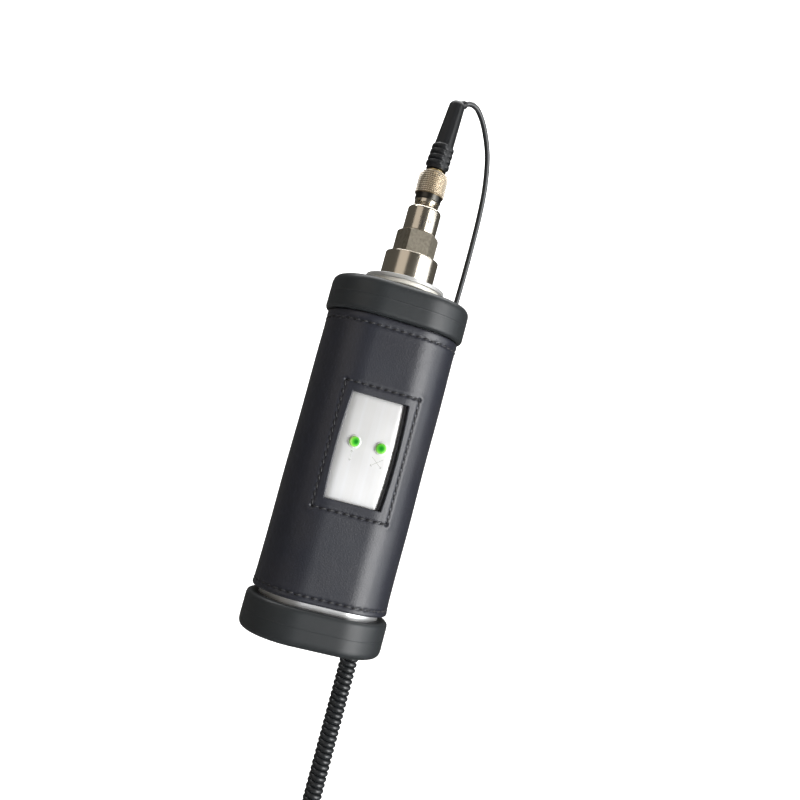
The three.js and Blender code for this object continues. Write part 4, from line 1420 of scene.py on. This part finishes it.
class CALIBRATOR_OT_plugs(BuildStep):
    """Makes the knurled coupling nuts, the plugs and the rubber boots at both ends of the lead"""

    bl_idname = "calibrator.plugs"
    bl_label = "Plugs"

    def execute(self, context):
        knurl = knurl_tree()
        for prefix in ("", "far_"):
            low, high = cad_box(f"{prefix}coupling_nut")
            middle = (low + high) / 2
            place = Matrix.Translation((middle.x, middle.y, low.z))
            self.add_nut(context.scene.calibrator_sensor, knurl, place, f"{prefix}coupling_nut")
            self.add_core(place, f"{prefix}plug_core")
        lean = Matrix.Translation((0, 0, 147.4)) @ Matrix.Rotation(math.radians(3), 4, "Y")
        self.add_boot("cable_boot", 37.1, lean, True)
        far = Matrix.Translation((COIL_X, COIL_Y, FAR_BOOT_LOW.z))
        self.add_boot("far_boot", 24.0, far, False)
        return {"FINISHED"}

    def add_nut(self, settings, knurl, place, node):
        """A smooth skirt with a notched rim, under a knurled drum with a round shoulder."""
        bore, drum = 5.2, DRUM_RADIUS
        rim = turned("rim", [
            (bore, 0, 0.1), (6.1, 0, 0.25), (6.1, RIM_TOP, 0.1), (bore, RIM_TOP, 0.1),
        ], 3, 96, True)
        for i in range(4):
            aim = (Matrix.Rotation(math.radians(90 * i + 38), 4, "Z")
                   @ Matrix.Translation((6.2, 0, 0.6)) @ Matrix.Rotation(math.pi / 2, 4, "Y"))
            rim = cut(rim, rod("slot", 0.8, -4, 4, 16, aim))
        band = turned("band", [
            (bore, RIM_TOP, 0.1), (6.25, RIM_TOP, 0.2), (6.42, 2.3, 0.1), (6.42, BAND_TOP, 0),
            (bore, BAND_TOP, 0),
        ], 3, 96, True)
        skirt = joined("skirt", finished(smooth(rim), "nickel"), finished(band, "blackened"))
        barrel = turned("drum", [
            (bore, 4.7, 0), (6.9, 4.7, 0.2), (6.9, KNURL_LOW, 0.1), (drum, 5.3, 0),
            (drum, KNURL_SHOULDER, 1.2), (6.2, 15.7, 1.4), (5.3, 16.9, 0.7), (4.5, 16.9, 0.2),
            (4.5, 13.9, 0.1), (bore, 13.9, 0.1),
        ], 6, 96, True)
        teeth = grown(points_mesh("nothing", []), knurl, {
            "Around": settings.knurls_around, "Rows": settings.knurl_rows,
            "Drum radius": (drum + 0.01) * MM, "Low": KNURL_LOW * MM, "High": KNURL_HIGH * MM,
            "Shoulder": KNURL_SHOULDER * MM, "Depth": TOOTH_DEPTH * MM, "Material": look("knurl"),
        })
        # The drum under the points is finished dark, as painted shade in the knurl's grooves.
        knurled = joined("knurled", finished(barrel, "valley_painted_shade"), teeth)
        in_metres = Matrix.Translation(place.translation * MM)
        for mesh in (skirt, knurled):
            mesh.transform(in_metres)
        piece(f"{node}_skirt", skirt, None, node, [node])
        piece(f"{node}_drum", smooth(knurled, 30), None, node)

    def add_core(self, place, node):
        turned_part(f"{node}_barrel", [
            (0, 1.6, 0), (3.5, 1.6, 0.3), (3.5, 12.3, 0), (4.8, 12.3, 0.2), (4.8, 13.5, 0.2),
            (4.1, 13.5, 0), (4.1, 17.9, 0.2), (0, 17.9, 0),
        ], "brass", "vibrating_table", "contact_brass", node, place=place)

    def boot_radius(self, angle, z, length):
        """The boot's radius: ribs low down that stop at two smooth strips, then a taper."""
        ribs_end, waist, end, tip_length = 13.0, 4.75, 3.85, 3.6
        body = 5.0 - 0.25 * min(z, ribs_end) / ribs_end
        if z > ribs_end:
            body = waist + (end - waist) * (z - ribs_end) / (length - ribs_end)
        strip = min(abs((angle - a + math.pi) % (2 * math.pi) - math.pi)
                    for a in (math.radians(-62), math.radians(118)))
        ribbed = 1 / (1 + math.exp((0.30 - strip) * 22))
        height = max(math.exp(-((z - 2.7 - 2.9 * i) / 1.08) ** 6) for i in range(4))
        rib = (0.92 - 0.012 * z) * height * ribbed
        flat = 0.25 * (1 - ribbed)
        tip = max(0.0, (z - (length - tip_length)) / tip_length)
        return (body + rib + flat) * math.sqrt(max(0.0, 1 - tip ** 2.4))

    def add_boot(self, node, length, place, side_exit):
        rows, around = 150, 72
        sections = []
        for i in range(around):
            angle = 2 * math.pi * i / around
            section = [Vector((0, 0, 0))]
            for j in range(rows + 1):
                z = length * j / rows
                r = self.boot_radius(angle, z, length)
                section.append(Vector((r * math.cos(angle), r * math.sin(angle), z)))
            sections.append([place @ p for p in section])
        mesh = new_mesh(f"{node}_rubber", *swept(sections, False), 50)
        if side_exit:
            aim = (place @ Matrix.Translation((0.43, 0, length - 2.7))
                   @ Matrix.Rotation(math.radians(52), 4, "Y"))
            mesh = cut(mesh, turned("nozzle", [
                (0, -1.5, 0), (2.6, -1.5, 0), (2.15, 2.6, 0.5), (2.05, 4.2, 0.4),
                (1.45, 4.2, 0.15), (0, 4.0, 0),
            ], 5, 40, place=aim), "UNION")
        piece(f"{node}_rubber", smooth(mesh, 50), "boot", "vibrating_table", [node])


# The CAD nodes that keep their own shape, and the finish of each
KEPT_NODES = {
    "top_end_plate": "aluminium", "bottom_end_plate": "aluminium", "spring_frame": "aluminium",
    "circuit_board": "board", "control_chip": "black_plastic", "left_battery_cell": "cell",
    "right_battery_cell": "cell", "battery_cradle": "black_plastic", "actuator_yoke": "steel",
    "drive_magnet": "magnet", "pole_piece": "steel", "upper_flexure": "steel",
    "lower_flexure": "steel", "button_switch": "black_plastic", "coil_former": "white_plastic",
    "voice_coil": "copper", "reference_sensor": "nickel", "holding_magnet": "magnet",
    "mounting_stud": "steel",
}


class CALIBRATOR_OT_inner_parts(BuildStep):
    """Gives the parts inside the body their finishes"""

    bl_idname = "calibrator.inner_parts"
    bl_label = "Inner parts"

    def execute(self, context):
        for name, finish in KEPT_NODES.items():
            for material_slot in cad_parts[name].material_slots:
                material_slot.material = look(finish)
        return {"FINISHED"}


class CALIBRATOR_OT_declare_lead(BuildStep):
    bl_idname = "calibrator.declare_lead"
    bl_label = "Declare the lead"

    def execute(self, context):
        return {"FINISHED"}


class CALIBRATOR_PT_panel(bpy.types.Panel):
    """Lists the building steps and their settings"""

    bl_idname = "CALIBRATOR_PT_panel"
    bl_label = "Vibration calibrator"
    bl_space_type = "VIEW_3D"
    bl_region_type = "UI"
    bl_category = "Calibrator"

    def draw(self, context):
        for name, group in SETTINGS.items():
            box = self.layout.box()
            for key in group.__annotations__:
                box.prop(getattr(context.scene, name), key)
        for step in STEPS:
            self.layout.operator(step.bl_idname)


STEPS = (
    CALIBRATOR_OT_stage, CALIBRATOR_OT_lead, CALIBRATOR_OT_bumpers, CALIBRATOR_OT_body,
    CALIBRATOR_OT_sleeve, CALIBRATOR_OT_sensor, CALIBRATOR_OT_plugs, CALIBRATOR_OT_inner_parts,
    CALIBRATOR_OT_declare_lead,
)


def register():
    for group in SETTINGS.values():
        bpy.utils.register_class(group)
    for name, group in SETTINGS.items():
        setattr(bpy.types.Scene, name, bpy.props.PointerProperty(type=group))
    for step in (*STEPS, CALIBRATOR_PT_panel):
        bpy.utils.register_class(step)


def unregister():
    for step in reversed((*STEPS, CALIBRATOR_PT_panel)):
        bpy.utils.unregister_class(step)
    for name in SETTINGS:
        delattr(bpy.types.Scene, name)
    for group in reversed(SETTINGS.values()):
        bpy.utils.unregister_class(group)


def main():
    register()
    for step in STEPS:
        space, name = step.bl_idname.split(".")
        getattr(getattr(bpy.ops, space), name)()


if __name__ == "__main__":
    main()
